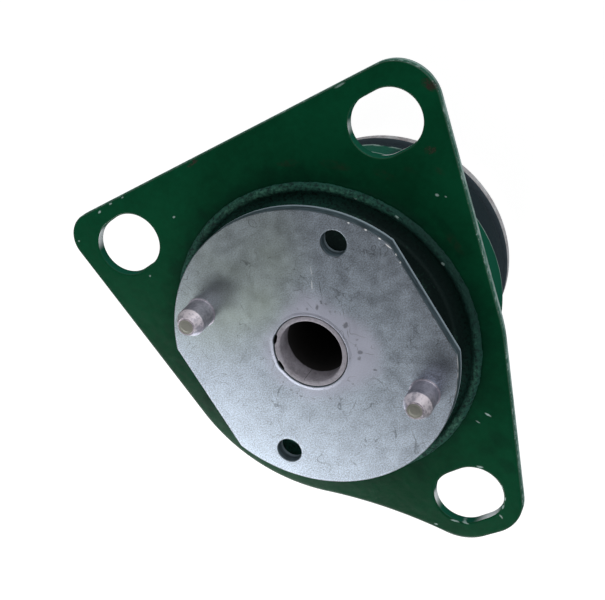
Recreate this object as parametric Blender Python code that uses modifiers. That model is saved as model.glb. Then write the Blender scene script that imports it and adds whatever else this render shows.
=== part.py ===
"""Engine mount: a drawn steel flange with a rubber element bonded round a centre tube.

The mount axis is vertical. It stands on its rear disc, with the front plate and its two
locating pins on top. Heights are measured from the floor that the rear disc stands on, and
plan sizes from the mount axis. The object's own X runs along the flange's straight edge.
Everything is in metres.
"""
import math

import bmesh
import bpy
from mathutils import Vector

# Core: the centre tube with the two plates on its ends
CORE_LENGTH = 0.0900          # floor to the front plate's face
TUBE_BORE_RADIUS = 0.0110     # clears an M20 bolt
TUBE_WALL = 0.0018
TUBE_LIP_CHAMFER = 0.0006
TUBE_FIT = 0.0003             # air between the tube and what sits round it

# Front plate: round, with two flats, blanked from plate
PLATE_RADIUS = 0.0500
PLATE_THICKNESS = 0.0043
PLATE_FLAT_DEPTH = 0.0045     # rim to each flat
PLATE_TURN = math.radians(3.0)
PLATE_EDGE_CHAMFER = 0.0004
DOWEL_HOLE_RADIUS = 0.00435
DOWEL_HOLE_MARGIN = 0.00475   # plate left between each plain hole and the rim
DOWEL_HOLE_ANGLE = math.radians(45.0)

# Locating pins, riveted into the front plate
PIN_RADIUS = 0.0049
PIN_HEIGHT = 0.0118
PIN_MARGIN = 0.0049           # plate left between each pin and the rim
PIN_ANGLE = math.radians(135.0)
PIN_TAPER = 0.0022            # how much thinner the tip is than the pin, in radius
PIN_TAPER_HEIGHT = 0.0030
PIN_SHOULDER = 0.0009         # how much thinner the tenon is than the pin, in radius
PIN_FIT = 0.0003

# Rear disc
DISC_RADIUS = 0.0463
DISC_THICKNESS = 0.0051
DISC_EDGE_RADIUS = 0.0008

# Cup, drawn backwards out of the flange
CUP_MOUTH_RADIUS = 0.0542     # outside, where it leaves the flange
CUP_DRAFT = 0.0027            # how much narrower its rear rim is, in radius
CUP_WALL = 0.0030
CUP_OUTER_FILLET = 0.0040
CUP_SHOULDER_RADIUS = 0.0030
CUP_RIM_ROUND = 0.0008

# Flange: three corners round a hub, pressed in one piece with its cup
FLANGE_DROP = 0.0132          # front plate's face down to the flange's face
FLANGE_THICKNESS = 0.0035
HUB_MARGIN = 0.0072           # flange left round the cup's mouth
HUB_CENTRE = (-0.0004, -0.0025)          # of the hub's arcs, from the mount axis
EDGE_OVERHANG = 0.0115        # straight edge beyond the hub's radius
RIGHT_OVERHANG = 0.0150       # right corner's side beyond the hub's radius
RIGHT_CORNER_RADIUS = 0.0141
LEFT_OVERHANG = 0.0103
LEFT_CORNER_RADIUS = 0.0097
FOOT_OVERHANG = 0.0277
FOOT_LEFT_SIDE = 0.0156       # foot's left corner's centre, to the right of the mount axis
FOOT_LEFT_RADIUS = 0.0168
FOOT_RIGHT_SIDE = 0.0218
FOOT_RIGHT_RADIUS = 0.0146
FOOT_BLEND_RADIUS = 0.1560    # hollow curve between the foot and the hub
RIGHT_SLOT_OFFSET = (-0.0060, -0.0032)   # from its corner's centre
LEFT_SLOT_OFFSET = (0.0107, -0.0067)
FOOT_SLOT_OFFSET = (-0.0035, 0.0021)     # from the foot's right corner's centre
SLOT_RADIUS = 0.0102
SLOT_TRAVEL = 0.0046          # how much longer than wide each slot is
RIGHT_SLOT_TURN = math.radians(1.6)
LEFT_SLOT_TURN = math.radians(7.5)
FOOT_SLOT_TURN = math.radians(2.8)

# Rubber element
RUBBER_SEAT = 0.0003          # bond line between the rubber and each metal part
LIP_OVERLAP = 0.0004          # how far the lip's foot lies out on the flat of the flange
LIP_ROUND = 0.0016
GROOVE_ROUND = 0.0024
RIDGE_ROUND = 0.0012
RIDGE_DROP = 0.0003           # ridge centre below the lip's centre
NECK_CLEARANCE = 0.00105      # front neck, inside the plain holes of the front plate
REAR_LENGTH = 0.0288          # free rubber between the cup's rim and the rear disc
REAR_STEP = 0.0022            # how far it stands back inside the cup's wall
REAR_STEP_ROUND = 0.0016
REAR_BULGE = 0.0006
REAR_FOOT_INSET = 0.0023      # edge of its foot, inside the disc's rim
REAR_FOOT_HEIGHT = 0.0045

# Smoothness of round forms
STEPS_LARGE = 64
STEPS_TUBE = 48
STEPS_PIN = 24
CHORD_ERROR = 0.00006
FILLET_STOP = math.radians(4.0)      # a fillet ends this short of its flat, for a clean cut
SHARP_ANGLE = math.radians(35.0)     # edges sharper than this stay sharp
BEVEL_ANGLE = math.radians(60.0)     # edges sharper than this are chamfered

# Heights worked out from the sizes above
PLATE_TOP = CORE_LENGTH
PLATE_UNDERSIDE = PLATE_TOP - PLATE_THICKNESS
FLANGE_TOP = PLATE_TOP - FLANGE_DROP
FLANGE_UNDERSIDE = FLANGE_TOP - FLANGE_THICKNESS
CUP_RIM_HEIGHT = DISC_THICKNESS + REAR_LENGTH

# Radii worked out from them
TUBE_OUTER_RADIUS = TUBE_BORE_RADIUS + TUBE_WALL
TUBE_SEAT_RADIUS = TUBE_OUTER_RADIUS + TUBE_FIT
DOWEL_HOLE_PITCH = PLATE_RADIUS - DOWEL_HOLE_MARGIN - DOWEL_HOLE_RADIUS
PIN_PITCH = PLATE_RADIUS - PIN_MARGIN - PIN_RADIUS
PIN_TIP_RADIUS = PIN_RADIUS - PIN_TAPER
PIN_TENON_RADIUS = PIN_RADIUS - PIN_SHOULDER
CUP_RIM_RADIUS = CUP_MOUTH_RADIUS - CUP_DRAFT
CUP_INNER_MOUTH = CUP_MOUTH_RADIUS - CUP_WALL
CUP_INNER_RIM = CUP_RIM_RADIUS - CUP_WALL
LIP_OUTER_RADIUS = CUP_INNER_MOUTH + CUP_SHOULDER_RADIUS + LIP_OVERLAP
NECK_RADIUS = DOWEL_HOLE_PITCH - DOWEL_HOLE_RADIUS - NECK_CLEARANCE
REAR_BODY_RADIUS = CUP_INNER_RIM - REAR_STEP
REAR_FOOT_RADIUS = DISC_RADIUS - REAR_FOOT_INSET

# Corner and slot centres of the flange, from the mount axis
HUB_RADIUS = CUP_MOUTH_RADIUS + HUB_MARGIN
STRAIGHT_EDGE = HUB_RADIUS + EDGE_OVERHANG
RIGHT_CORNER = (HUB_RADIUS + RIGHT_OVERHANG - RIGHT_CORNER_RADIUS,
                STRAIGHT_EDGE - RIGHT_CORNER_RADIUS)
LEFT_CORNER = (LEFT_CORNER_RADIUS - LEFT_OVERHANG - HUB_RADIUS,
               STRAIGHT_EDGE - LEFT_CORNER_RADIUS)
FOOT_EDGE = -(HUB_RADIUS + FOOT_OVERHANG)
FOOT_LEFT_CORNER = (FOOT_LEFT_SIDE, FOOT_EDGE + FOOT_LEFT_RADIUS)
FOOT_RIGHT_CORNER = (FOOT_RIGHT_SIDE, FOOT_EDGE + FOOT_RIGHT_RADIUS)
SLOTS = [((corner[0] + offset[0], corner[1] + offset[1]), turn) for corner, offset, turn in (
    (RIGHT_CORNER, RIGHT_SLOT_OFFSET, RIGHT_SLOT_TURN),
    (LEFT_CORNER, LEFT_SLOT_OFFSET, LEFT_SLOT_TURN),
    (FOOT_RIGHT_CORNER, FOOT_SLOT_OFFSET, FOOT_SLOT_TURN))]

# The mount axis stands off centre, so that the flange's outline is centred on the origin
AXIS_X = (LEFT_OVERHANG - RIGHT_OVERHANG) / 2
AXIS_Y = (FOOT_OVERHANG - EDGE_OVERHANG) / 2


def clear_scene():
    """Remove every object that the file opens with."""
    for obj in list(bpy.data.objects):
        bpy.data.objects.remove(obj, do_unlink=True)


def new_collection(name):
    """Make a collection in the scene."""
    coll = bpy.data.collections.new(name)
    bpy.context.scene.collection.children.link(coll)
    return coll


def new_material(name, colour, roughness, metallic):
    """A Principled material with one colour, given as linear red, green and blue."""
    mat = bpy.data.materials.new(name)
    mat.use_nodes = True
    shader = mat.node_tree.nodes["Principled BSDF"]
    shader.inputs["Base Color"].default_value = (*colour, 1.0)
    shader.inputs["Roughness"].default_value = roughness
    shader.inputs["Metallic"].default_value = metallic
    mat.diffuse_color = (*colour, 1.0)
    return mat


def polar(radius, angle, centre=(0.0, 0.0)):
    """A point at a radius and an angle from a centre."""
    return (centre[0] + radius * math.cos(angle), centre[1] + radius * math.sin(angle))


def arc(centre, radius, start, end):
    """Points on an arc, both ends included, close enough together for CHORD_ERROR."""
    step = 2 * math.acos(max(0.5, 1 - CHORD_ERROR / radius))
    count = max(2, math.ceil(abs(end - start) / step))
    return [polar(radius, start + (end - start) * i / count, centre) for i in range(count + 1)]


def tangent_heading(centre_a, radius_a, centre_b, radius_b):
    """Heading of the line that touches circle a, then circle b, with both on its left."""
    gap_x, gap_y = centre_b[0] - centre_a[0], centre_b[1] - centre_a[1]
    length = math.hypot(gap_x, gap_y)
    return math.atan2(gap_y, gap_x) + math.asin((radius_a - radius_b) / length)


def blend_centre(centre_a, radius_a, centre_b, radius_b, blend):
    """Centre of the circle that touches circles a and b from outside, right of the way a to b."""
    gap_x, gap_y = centre_b[0] - centre_a[0], centre_b[1] - centre_a[1]
    length = math.hypot(gap_x, gap_y)
    reach_a, reach_b = radius_a + blend, radius_b + blend
    along = (length**2 + reach_a**2 - reach_b**2) / (2 * length)
    aside = math.sqrt(reach_a**2 - along**2)
    unit_x, unit_y = gap_x / length, gap_y / length
    return (centre_a[0] + along * unit_x + aside * unit_y,
            centre_a[1] + along * unit_y - aside * unit_x)


def bearing(centre, point):
    """Angle of a point seen from a centre."""
    return math.atan2(point[1] - centre[1], point[0] - centre[0])


def flange_outline():
    """The flange's edge, anticlockwise: the straight edge's two corners, the hub and the two
    corners of the foot, joined by tangents.

    Each straight side leaves a circle at its heading less a quarter turn. Between the hub and
    the foot on the left the side is a hollow blend in place of a straight line.
    """
    quarter, full = math.pi / 2, 2 * math.pi
    hub = HUB_CENTRE
    left_side = tangent_heading(LEFT_CORNER, LEFT_CORNER_RADIUS, hub, HUB_RADIUS) % full
    lower_right = tangent_heading(FOOT_RIGHT_CORNER, FOOT_RIGHT_RADIUS, hub, HUB_RADIUS)
    upper_right = tangent_heading(hub, HUB_RADIUS, RIGHT_CORNER, RIGHT_CORNER_RADIUS)
    blend = blend_centre(hub, HUB_RADIUS, FOOT_LEFT_CORNER, FOOT_LEFT_RADIUS,
                         FOOT_BLEND_RADIUS)
    hub_end = bearing(hub, blend) % full
    foot_start = bearing(FOOT_LEFT_CORNER, blend) % full

    points = arc(RIGHT_CORNER, RIGHT_CORNER_RADIUS, upper_right - quarter, quarter)
    points += arc(LEFT_CORNER, LEFT_CORNER_RADIUS, quarter, left_side - quarter)
    points += arc(hub, HUB_RADIUS, left_side - quarter, hub_end)
    points += arc(blend, FOOT_BLEND_RADIUS, hub_end - math.pi, foot_start - math.pi)[1:-1]
    points += arc(FOOT_LEFT_CORNER, FOOT_LEFT_RADIUS, foot_start, 3 * quarter)
    points += arc(FOOT_RIGHT_CORNER, FOOT_RIGHT_RADIUS, -quarter, lower_right - quarter)
    points += arc(hub, HUB_RADIUS, lower_right - quarter, upper_right - quarter)
    return points


def slot_outline(centre, turn):
    """A slot with round ends, clockwise, turned from the straight edge."""
    half = SLOT_TRAVEL / 2
    right = polar(half, turn, centre)
    left = polar(half, turn + math.pi, centre)
    quarter = math.pi / 2
    return (arc(right, SLOT_RADIUS, turn + quarter, turn - quarter)
            + arc(left, SLOT_RADIUS, turn - quarter, turn - 3 * quarter))


def circle(radius, count, centre=(0.0, 0.0)):
    """A closed ring of points."""
    return [polar(radius, 2 * math.pi * i / count, centre) for i in range(count)]


def plate_outline():
    """The front plate's edge: two arcs joined by two flats."""
    half = math.acos(1 - PLATE_FLAT_DEPTH / PLATE_RADIUS)
    upper = arc((0.0, 0.0), PLATE_RADIUS, half, math.pi - half)
    lower = arc((0.0, 0.0), PLATE_RADIUS, math.pi + half, 2 * math.pi - half)
    return upper + lower


def flat_plate(name, outlines, bottom, top, coll):
    """A flat plate from its outline and holes: a filled 2D curve, extruded, made a mesh."""
    curve = bpy.data.curves.new(name, "CURVE")
    curve.dimensions = "2D"
    curve.fill_mode = "BOTH"
    curve.extrude = (top - bottom) / 2
    for outline in outlines:
        spline = curve.splines.new("POLY")
        spline.points.add(len(outline) - 1)
        for point, (x, y) in zip(spline.points, outline):
            point.co = (x, y, 0.0, 1.0)
        spline.use_cyclic_u = True
    guide = bpy.data.objects.new(name + "_outline", curve)
    guide.location.z = (top + bottom) / 2
    coll.objects.link(guide)
    bpy.context.view_layer.update()
    graph = bpy.context.evaluated_depsgraph_get()
    mesh = bpy.data.meshes.new_from_object(guide.evaluated_get(graph))
    shape = bmesh.new()
    shape.from_mesh(mesh)
    bmesh.ops.remove_doubles(shape, verts=shape.verts, dist=1e-6)
    shape.to_mesh(mesh)
    shape.free()
    obj = bpy.data.objects.new(name, mesh)
    obj.matrix_world = guide.matrix_world.copy()
    coll.objects.link(obj)
    bpy.data.objects.remove(guide, do_unlink=True)
    return obj


def turned(name, profile, steps, coll, to_axis=False):
    """A turned shape: a profile of (radius, height) points, clockwise, carried round the axis.

    The profile is a closed ring, or with to_axis it starts and ends on the axis.
    """
    count = len(profile)
    edges = [(i, i + 1) for i in range(count - 1)]
    if not to_axis:
        edges.append((count - 1, 0))
    mesh = bpy.data.meshes.new(name)
    mesh.from_pydata([(radius, 0.0, height) for radius, height in profile], edges, [])
    obj = bpy.data.objects.new(name, mesh)
    coll.objects.link(obj)
    screw = obj.modifiers.new("turn", "SCREW")
    screw.axis = "Z"
    screw.angle = 2 * math.pi
    screw.steps = steps
    screw.render_steps = steps
    screw.use_merge_vertices = True
    screw.merge_threshold = 1e-5
    weld = obj.modifiers.new("close_poles", "WELD")
    weld.merge_threshold = 1e-5
    return obj


def combine(obj, cutter, operation):
    """Join a shape to an object, or cut it out, and keep the cutter as a hidden guide."""
    boolean = obj.modifiers.new(operation.lower(), "BOOLEAN")
    boolean.operation = operation
    boolean.solver = "EXACT"
    boolean.object = cutter
    cutter.hide_render = True
    cutter.display_type = "WIRE"


def finish(obj, mat, axis):
    """Give an object its material, hang it on the mount axis and shade it smooth."""
    obj.data.materials.append(mat)
    obj.parent = axis
    if obj.data.polygons:
        obj.data.shade_smooth()
        obj.data.set_sharp_from_angle(angle=SHARP_ANGLE)


def cup_taper(height, mouth, rim):
    """Radius of a cup wall at a height, between its mouth under the flange and its rim."""
    share = (FLANGE_UNDERSIDE - height) / (FLANGE_UNDERSIDE - CUP_RIM_HEIGHT)
    return mouth + (rim - mouth) * share


def shoulder_arc(offset):
    """The rounded mouth where the flange turns down into the cup, offset inwards by a gap."""
    centre = (CUP_INNER_MOUTH + CUP_SHOULDER_RADIUS, FLANGE_TOP - CUP_SHOULDER_RADIUS)
    return arc(centre, CUP_SHOULDER_RADIUS + offset, math.pi / 2 - FILLET_STOP, math.pi)


def make_flange(parts, cutters):
    """The pressed flange: a flat plate with three slots and a cup drawn through its hub."""
    outlines = [flange_outline()] + [slot_outline(centre, turn) for centre, turn in SLOTS]
    flange = flat_plate("mounting_flange", outlines, FLANGE_UNDERSIDE, FLANGE_TOP, parts)

    fillet_centre = (CUP_MOUTH_RADIUS + CUP_OUTER_FILLET, FLANGE_UNDERSIDE - CUP_OUTER_FILLET)
    fillet = arc(fillet_centre, CUP_OUTER_FILLET, math.pi / 2 + FILLET_STOP, math.pi)
    inside_plate = (FLANGE_TOP + FLANGE_UNDERSIDE) / 2
    rim_centre = (CUP_RIM_RADIUS - CUP_RIM_ROUND, CUP_RIM_HEIGHT + CUP_RIM_ROUND)
    rim = arc(rim_centre, CUP_RIM_ROUND, 0.0, -math.pi / 2)
    outside = [(0.0, inside_plate), (fillet[0][0], inside_plate)] + fillet + rim
    outside.append((0.0, CUP_RIM_HEIGHT))
    body = turned("cup_outside", outside, STEPS_LARGE, cutters, to_axis=True)
    combine(flange, body, "UNION")

    above, below = FLANGE_TOP + CUP_WALL, CUP_RIM_HEIGHT - CUP_WALL
    shoulder = shoulder_arc(0.0)
    inside = [(0.0, above), (shoulder[0][0], above)] + shoulder
    inside += [(cup_taper(below, CUP_INNER_MOUTH, CUP_INNER_RIM), below), (0.0, below)]
    hollow = turned("cup_inside", inside, STEPS_LARGE, cutters, to_axis=True)
    combine(flange, hollow, "DIFFERENCE")
    return flange


def rubber_profile():
    """Section of the rubber, clockwise from the front neck's top.

    In front of the flange it runs from the neck down a hollow flank to the ridge, through a
    groove and over the round lip that lies on the flange. It then follows the flange's
    shoulder and the cup's wall, leaves the cup by a small step and ends on the rear disc.
    """
    quarter = math.pi / 2
    top = PLATE_UNDERSIDE - RUBBER_SEAT
    lip = (LIP_OUTER_RADIUS - LIP_ROUND, FLANGE_TOP + RUBBER_SEAT)
    groove = (lip[0] - LIP_ROUND - GROOVE_ROUND, lip[1])
    ridge_height = lip[1] - RIDGE_DROP
    ridge_reach = math.sqrt((GROOVE_ROUND + RIDGE_ROUND) ** 2 - RIDGE_DROP**2)
    ridge = (groove[0] - ridge_reach, ridge_height)
    meeting = bearing(ridge, groove)

    ridge_top = ridge[1] + RIDGE_ROUND
    flank_width, flank_height = ridge[0] - NECK_RADIUS, top - ridge_top
    turns = [quarter * i / 6 for i in range(7)]
    flank = [(ridge[0] - flank_width * math.cos(t), top - flank_height * math.sin(t))
             for t in turns]
    front = flank + arc(ridge, RIDGE_ROUND, quarter, meeting)[1:]
    front += arc(groove, GROOVE_ROUND, meeting + math.pi, 2 * math.pi)[1:]
    front += arc(lip, LIP_ROUND, math.pi, 0.0)[1:]

    # Bond to the flange's shoulder and the cup
    seat = shoulder_arc(RUBBER_SEAT)
    inner_rim = CUP_INNER_RIM - RUBBER_SEAT
    step_height = CUP_RIM_HEIGHT - REAR_STEP_ROUND
    bonded = seat + [(inner_rim, CUP_RIM_HEIGHT)]

    # Rear body, slightly barrelled, down to its foot on the rear disc
    foot = DISC_THICKNESS + RUBBER_SEAT
    barrel_top, barrel_foot = step_height, foot + REAR_FOOT_HEIGHT
    barrel = []
    for i in range(6):
        share = i / 5
        radius = REAR_BODY_RADIUS + REAR_BULGE * math.sin(math.pi * share)
        barrel.append((radius, barrel_top + (barrel_foot - barrel_top) * share))
    outside = front + bonded + barrel + [(REAR_FOOT_RADIUS, foot)]
    return outside + [(TUBE_SEAT_RADIUS, foot), (TUBE_SEAT_RADIUS, top)]


def make_rubber(parts):
    """The moulded rubber element, one piece from the front plate to the rear disc."""
    return turned("rubber_element", rubber_profile(), STEPS_LARGE, parts)


def make_tube(parts):
    """The centre tube, with chamfered mouths."""
    lip, bore, outer = TUBE_LIP_CHAMFER, TUBE_BORE_RADIUS, TUBE_OUTER_RADIUS
    profile = [(outer - lip / 2, CORE_LENGTH), (outer, CORE_LENGTH - lip / 2), (outer, 0.0),
               (bore + lip, 0.0), (bore, lip), (bore, CORE_LENGTH - lip),
               (bore + lip, CORE_LENGTH)]
    return turned("centre_tube", profile, STEPS_TUBE, parts)


def pin_places():
    """Plan positions of the two locating pins on the front plate."""
    return [polar(PIN_PITCH, PIN_ANGLE), polar(PIN_PITCH, PIN_ANGLE + math.pi)]


def make_front_plate(parts):
    """The front plate, with holes for the tube, the two pins and two dowels."""
    dowels = [polar(DOWEL_HOLE_PITCH, DOWEL_HOLE_ANGLE + math.pi * i) for i in range(2)]
    outlines = [plate_outline(), circle(TUBE_SEAT_RADIUS, STEPS_TUBE)]
    outlines += [circle(DOWEL_HOLE_RADIUS, STEPS_PIN, place) for place in dowels]
    outlines += [circle(PIN_TENON_RADIUS + PIN_FIT, STEPS_PIN, place) for place in pin_places()]
    plate = flat_plate("front_plate", outlines, PLATE_UNDERSIDE, PLATE_TOP, parts)
    edge = plate.modifiers.new("edge", "BEVEL")
    edge.width = PLATE_EDGE_CHAMFER
    edge.segments = 1
    edge.limit_method = "ANGLE"
    edge.angle_limit = BEVEL_ANGLE
    plate.rotation_euler.z = PLATE_TURN
    return plate


def make_pin(number, place, parts):
    """A locating pin: a tenon in the plate, a round body and a tapered nose."""
    tenon_end = PLATE_UNDERSIDE + PIN_FIT
    shoulder = PLATE_TOP + PIN_FIT
    tip = PLATE_TOP + PIN_HEIGHT
    profile = [(0.0, tip), (PIN_TIP_RADIUS, tip), (PIN_RADIUS, tip - PIN_TAPER_HEIGHT),
               (PIN_RADIUS, shoulder), (PIN_TENON_RADIUS, shoulder),
               (PIN_TENON_RADIUS, tenon_end), (0.0, tenon_end)]
    pin = turned(f"locating_pin_{number}", profile, STEPS_PIN, parts, to_axis=True)
    angle = bearing((0.0, 0.0), place) + PLATE_TURN
    pin.location = (*polar(PIN_PITCH, angle), 0.0)
    return pin


def make_disc(parts):
    """The rear disc that the mount stands on, with rounded edges."""
    quarter, edge = math.pi / 2, DISC_EDGE_RADIUS
    upper = arc((DISC_RADIUS - edge, DISC_THICKNESS - edge), edge, quarter, 0.0)
    lower = arc((DISC_RADIUS - edge, edge), edge, 0.0, -quarter)
    profile = upper + lower + [(TUBE_SEAT_RADIUS, 0.0), (TUBE_SEAT_RADIUS, DISC_THICKNESS)]
    return turned("rear_disc", profile, STEPS_LARGE, parts)


def main():
    """Build the engine mount."""
    clear_scene()
    parts = new_collection("engine_mount")
    cutters = new_collection("cutters")
    green_paint = new_material("green_painted_steel", (0.004, 0.050, 0.016), 0.35, 0.0)
    green_rubber = new_material("green_painted_rubber", (0.006, 0.032, 0.018), 0.55, 0.0)
    zinc = new_material("zinc_plated_steel", (0.42, 0.44, 0.47), 0.38, 1.0)

    axis = bpy.data.objects.new("mount_axis", None)
    axis.location = Vector((AXIS_X, AXIS_Y, 0.0))
    parts.objects.link(axis)

    finish(make_flange(parts, cutters), green_paint, axis)
    finish(make_rubber(parts), green_rubber, axis)
    finish(make_tube(parts), zinc, axis)
    finish(make_front_plate(parts), zinc, axis)
    for number, place in enumerate(pin_places(), start=1):
        finish(make_pin(number, place, parts), zinc, axis)
    finish(make_disc(parts), zinc, axis)
    for guide in cutters.objects:
        guide.parent = axis
    bpy.context.view_layer.update()


main()
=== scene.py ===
"""Finished surfaces, materials and studio of an engine mount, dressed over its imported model.

Lengths are in metres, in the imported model's frame: the mount stands on its rear disc, +Z runs
along the mount axis towards the locating pins, and +X along the flange's straight edge. Each
surface is a numpy grid: a section turned round the mount axis, or a section carried along an
outline. Plan sizes are measured from the mount axis.
"""

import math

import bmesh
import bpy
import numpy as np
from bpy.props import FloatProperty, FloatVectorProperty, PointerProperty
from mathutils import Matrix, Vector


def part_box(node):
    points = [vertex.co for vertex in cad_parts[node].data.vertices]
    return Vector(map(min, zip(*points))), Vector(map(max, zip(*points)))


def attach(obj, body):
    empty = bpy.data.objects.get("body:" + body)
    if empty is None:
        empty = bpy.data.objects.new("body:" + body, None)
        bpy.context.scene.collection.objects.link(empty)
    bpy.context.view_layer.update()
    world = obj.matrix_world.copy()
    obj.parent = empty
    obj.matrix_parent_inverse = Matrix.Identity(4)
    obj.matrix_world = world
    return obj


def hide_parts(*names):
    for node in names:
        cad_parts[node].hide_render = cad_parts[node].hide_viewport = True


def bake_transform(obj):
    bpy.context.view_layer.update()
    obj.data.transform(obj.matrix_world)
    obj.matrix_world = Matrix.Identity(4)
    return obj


bl_info = {
    "name": "Engine Mount Surfaces",
    "version": (1, 0, 0),
    "blender": (4, 5, 0),
    "location": "3D View > Sidebar > Engine Mount",
    "description": "Finished surfaces, materials and studio for a drawn-flange engine mount",
    "category": "Object",
}

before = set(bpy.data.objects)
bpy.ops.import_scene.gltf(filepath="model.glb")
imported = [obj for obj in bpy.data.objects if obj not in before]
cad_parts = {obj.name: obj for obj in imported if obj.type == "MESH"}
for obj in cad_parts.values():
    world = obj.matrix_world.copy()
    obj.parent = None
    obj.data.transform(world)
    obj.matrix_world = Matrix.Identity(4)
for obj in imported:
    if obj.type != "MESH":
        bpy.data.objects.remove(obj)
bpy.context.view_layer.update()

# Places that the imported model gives
TUBE_LOW, TUBE_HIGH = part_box("centre_tube")
PLATE_LOW, PLATE_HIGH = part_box("front_plate")
FLANGE_LOW, FLANGE_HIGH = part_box("mounting_flange")
DISC_LOW, DISC_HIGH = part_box("rear_disc")
PIN_BOXES = {name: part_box(name) for name in ("locating_pin_1", "locating_pin_2")}
PIN_TOP = PIN_BOXES["locating_pin_1"][1].z
AXIS = np.array([(TUBE_LOW.x + TUBE_HIGH.x) / 2, (TUBE_LOW.y + TUBE_HIGH.y) / 2])
PLATE_TOP, PLATE_UNDER = PLATE_HIGH.z, PLATE_LOW.z
FLANGE_TOP, CUP_RIM = FLANGE_HIGH.z, FLANGE_LOW.z
DISC_TOP = DISC_HIGH.z
CUP_MIDDLE = (FLANGE_TOP + CUP_RIM) / 2
TUBE_RADIUS = (TUBE_HIGH.x - TUBE_LOW.x) / 2
DISC_RADIUS = (DISC_HIGH.x - DISC_LOW.x) / 2

# Studio: each softbox by the azimuth and height it stands at, its distance, size and watts
SOFTBOXES = (("front_softbox", 30.0, 18.0, 0.90, (0.9, 0.4), 1.8),
             ("key_softbox", 214.0, 27.0, 0.40, (0.44, 0.20), 1.15))
# The world's level, its level on its dark side, and the direction of that side
WORLD_LEVEL = 0.75
WORLD_DARK = 0.02
DARK_SIDE = (-0.25, -0.10, 0.963)
# Half the floor's side, its gap under the rear disc, and the light of its own that makes it
# white to the camera and shows a little in gloss
FLOOR_REACH = 4.0
FLOOR_DROP = 0.0002
FLOOR_LIFT = 0.86
GLOSS_LIFT = 0.05
WHITE = (1.0, 1.0, 1.0)

# Right, left and foot slots: offset from their corner's centre, and turn in degrees
SLOT_PLACES = (((-0.0060, -0.0032), 1.6), ((0.0107, -0.0067), 7.5), ((-0.0035, 0.0021), 2.8))

# Marks on the mount: middle from the mount axis and half sizes in mm, turn in degrees, strength
BROWN_RUBS = ((75.0, 60.0, 4.2, 2.2, -60, 1.0), (65.2, 42.2, 2.6, 1.9, 0, 0.8),
              (34.4, 50.6, 8.0, 2.6, -36, 0.36), (48.0, 41.0, 6.5, 2.2, -48, 0.36),
              (50.5, 50.0, 2.6, 1.6, -40, 0.45), (56.3, 39.2, 3.6, 1.8, -50, 0.36),
              (64.8, 35.0, 3.2, 1.5, -60, 0.3), (-11.4, 71.6, 3.5, 0.9, 3, 0.8),
              (20.0, 57.6, 6.0, 1.8, -20, 0.4), (58.0, 12.0, 2.2, 7.0, 10, 0.45))
DARK_RUBS = ((38.9, -56.2, 5.5, 4.0, -50, 0.6), (36.8, -66.0, 5.0, 3.0, -70, 0.6),
             (33.5, -58.5, 4.0, 2.4, -30, 0.45), (57.5, 18.0, 2.0, 9.0, 15, 0.5),
             (46.0, -38.0, 2.0, 6.0, 35, 0.4))
PALE_SCRATCHES = ((39.5, -46.3, 1.5, 0.42, -53, 1.0), (35.0, -47.6, 1.1, 0.30, -53, 0.6),
                  (8.6, -80.3, 2.0, 0.40, -36, 0.9), (11.9, -82.2, 1.5, 0.40, -36, 0.8),
                  (1.3, -79.5, 0.8, 0.35, -36, 0.8), (27.5, -63.4, 1.5, 0.45, -30, 0.9),
                  (24.9, -76.0, 0.5, 2.6, -12, 0.9), (60.3, 28.5, 0.8, 0.55, -40, 0.8),
                  (62.6, 26.9, 0.5, 0.35, -40, 0.6), (-28.8, 58.2, 0.60, 0.50, 0, 0.8),
                  (-69.3, 65.4, 0.55, 0.45, 0, 0.7), (-50.3, 43.3, 0.55, 0.45, 0, 0.6),
                  (31.1, -72.8, 0.9, 0.40, 75, 0.7), (29.9, -77.4, 1.0, 0.45, 60, 0.8),
                  (27.8, -80.1, 1.1, 0.45, 40, 0.7), (25.3, -83.4, 1.2, 0.40, -75, 0.7),
                  (-48.9, 72.0, 0.9, 0.40, 0, 0.7), (-54.8, 71.2, 1.0, 0.45, 10, 0.8),
                  (-43.2, 72.1, 0.7, 0.35, 0, 0.6), (49.0, 72.2, 2.5, 0.45, 0, 0.5),
                  (75.2, 51.0, 0.5, 1.4, 0, 0.5), (66.0, 12.0, 0.6, 0.35, 0, 0.5))
# Painted highlights on the slots' walls, over their whole height, and along their rear edges
PAINTED_WALL_HIGHLIGHTS = ((-60.8, 63.4, 6.5, 2.4, 45, 1.0), (6.3, -69.4, 6.0, 2.4, 100, 1.0),
               (21.8, -82.2, 7.5, 2.2, 4, 1.0), (43.9, 60.6, 4.5, 2.0, 75, 0.9))
PAINTED_RIM_HIGHLIGHTS = ((53.0, 45.5, 8.5, 1.6, 0, 0.9), (-53.0, 46.2, 6.0, 1.6, 8, 0.4))
LIP_CHIPS = ((51.7, 7.8, 0.8, 0.7, 0, 1.0), (45.5, 27.5, 0.9, 0.4, -50, 0.6),
             (36.0, 38.5, 1.0, 0.4, -45, 0.6))
PLATE_LINES = ((15.0, 18.2, 4.8, 0.20, 69, 0.7), (7.3, 21.1, 2.6, 0.20, -7, 0.6),
               (4.2, 20.6, 1.6, 0.16, 25, 0.5), (23.6, -0.8, 3.4, 0.13, -27, 0.5),
               (18.6, 9.5, 5.4, 0.18, 72, 0.5), (18.0, -13.6, 1.0, 0.42, -27, 0.9),
               (8.6, 14.6, 2.2, 0.18, -75, 0.6), (15.8, 1.2, 2.0, 0.22, 68, 0.7),
               (19.0, -7.8, 2.4, 0.16, -31, 0.7), (-16.4, -8.4, 1.8, 0.16, 40, 0.7),
               (9.6, 17.3, 1.8, 0.16, -40, 0.5), (-14.0, -11.0, 0.9, 0.18, 50, 0.7),
               (31.5, -14.5, 0.5, 0.45, 0, 0.5))
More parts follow.
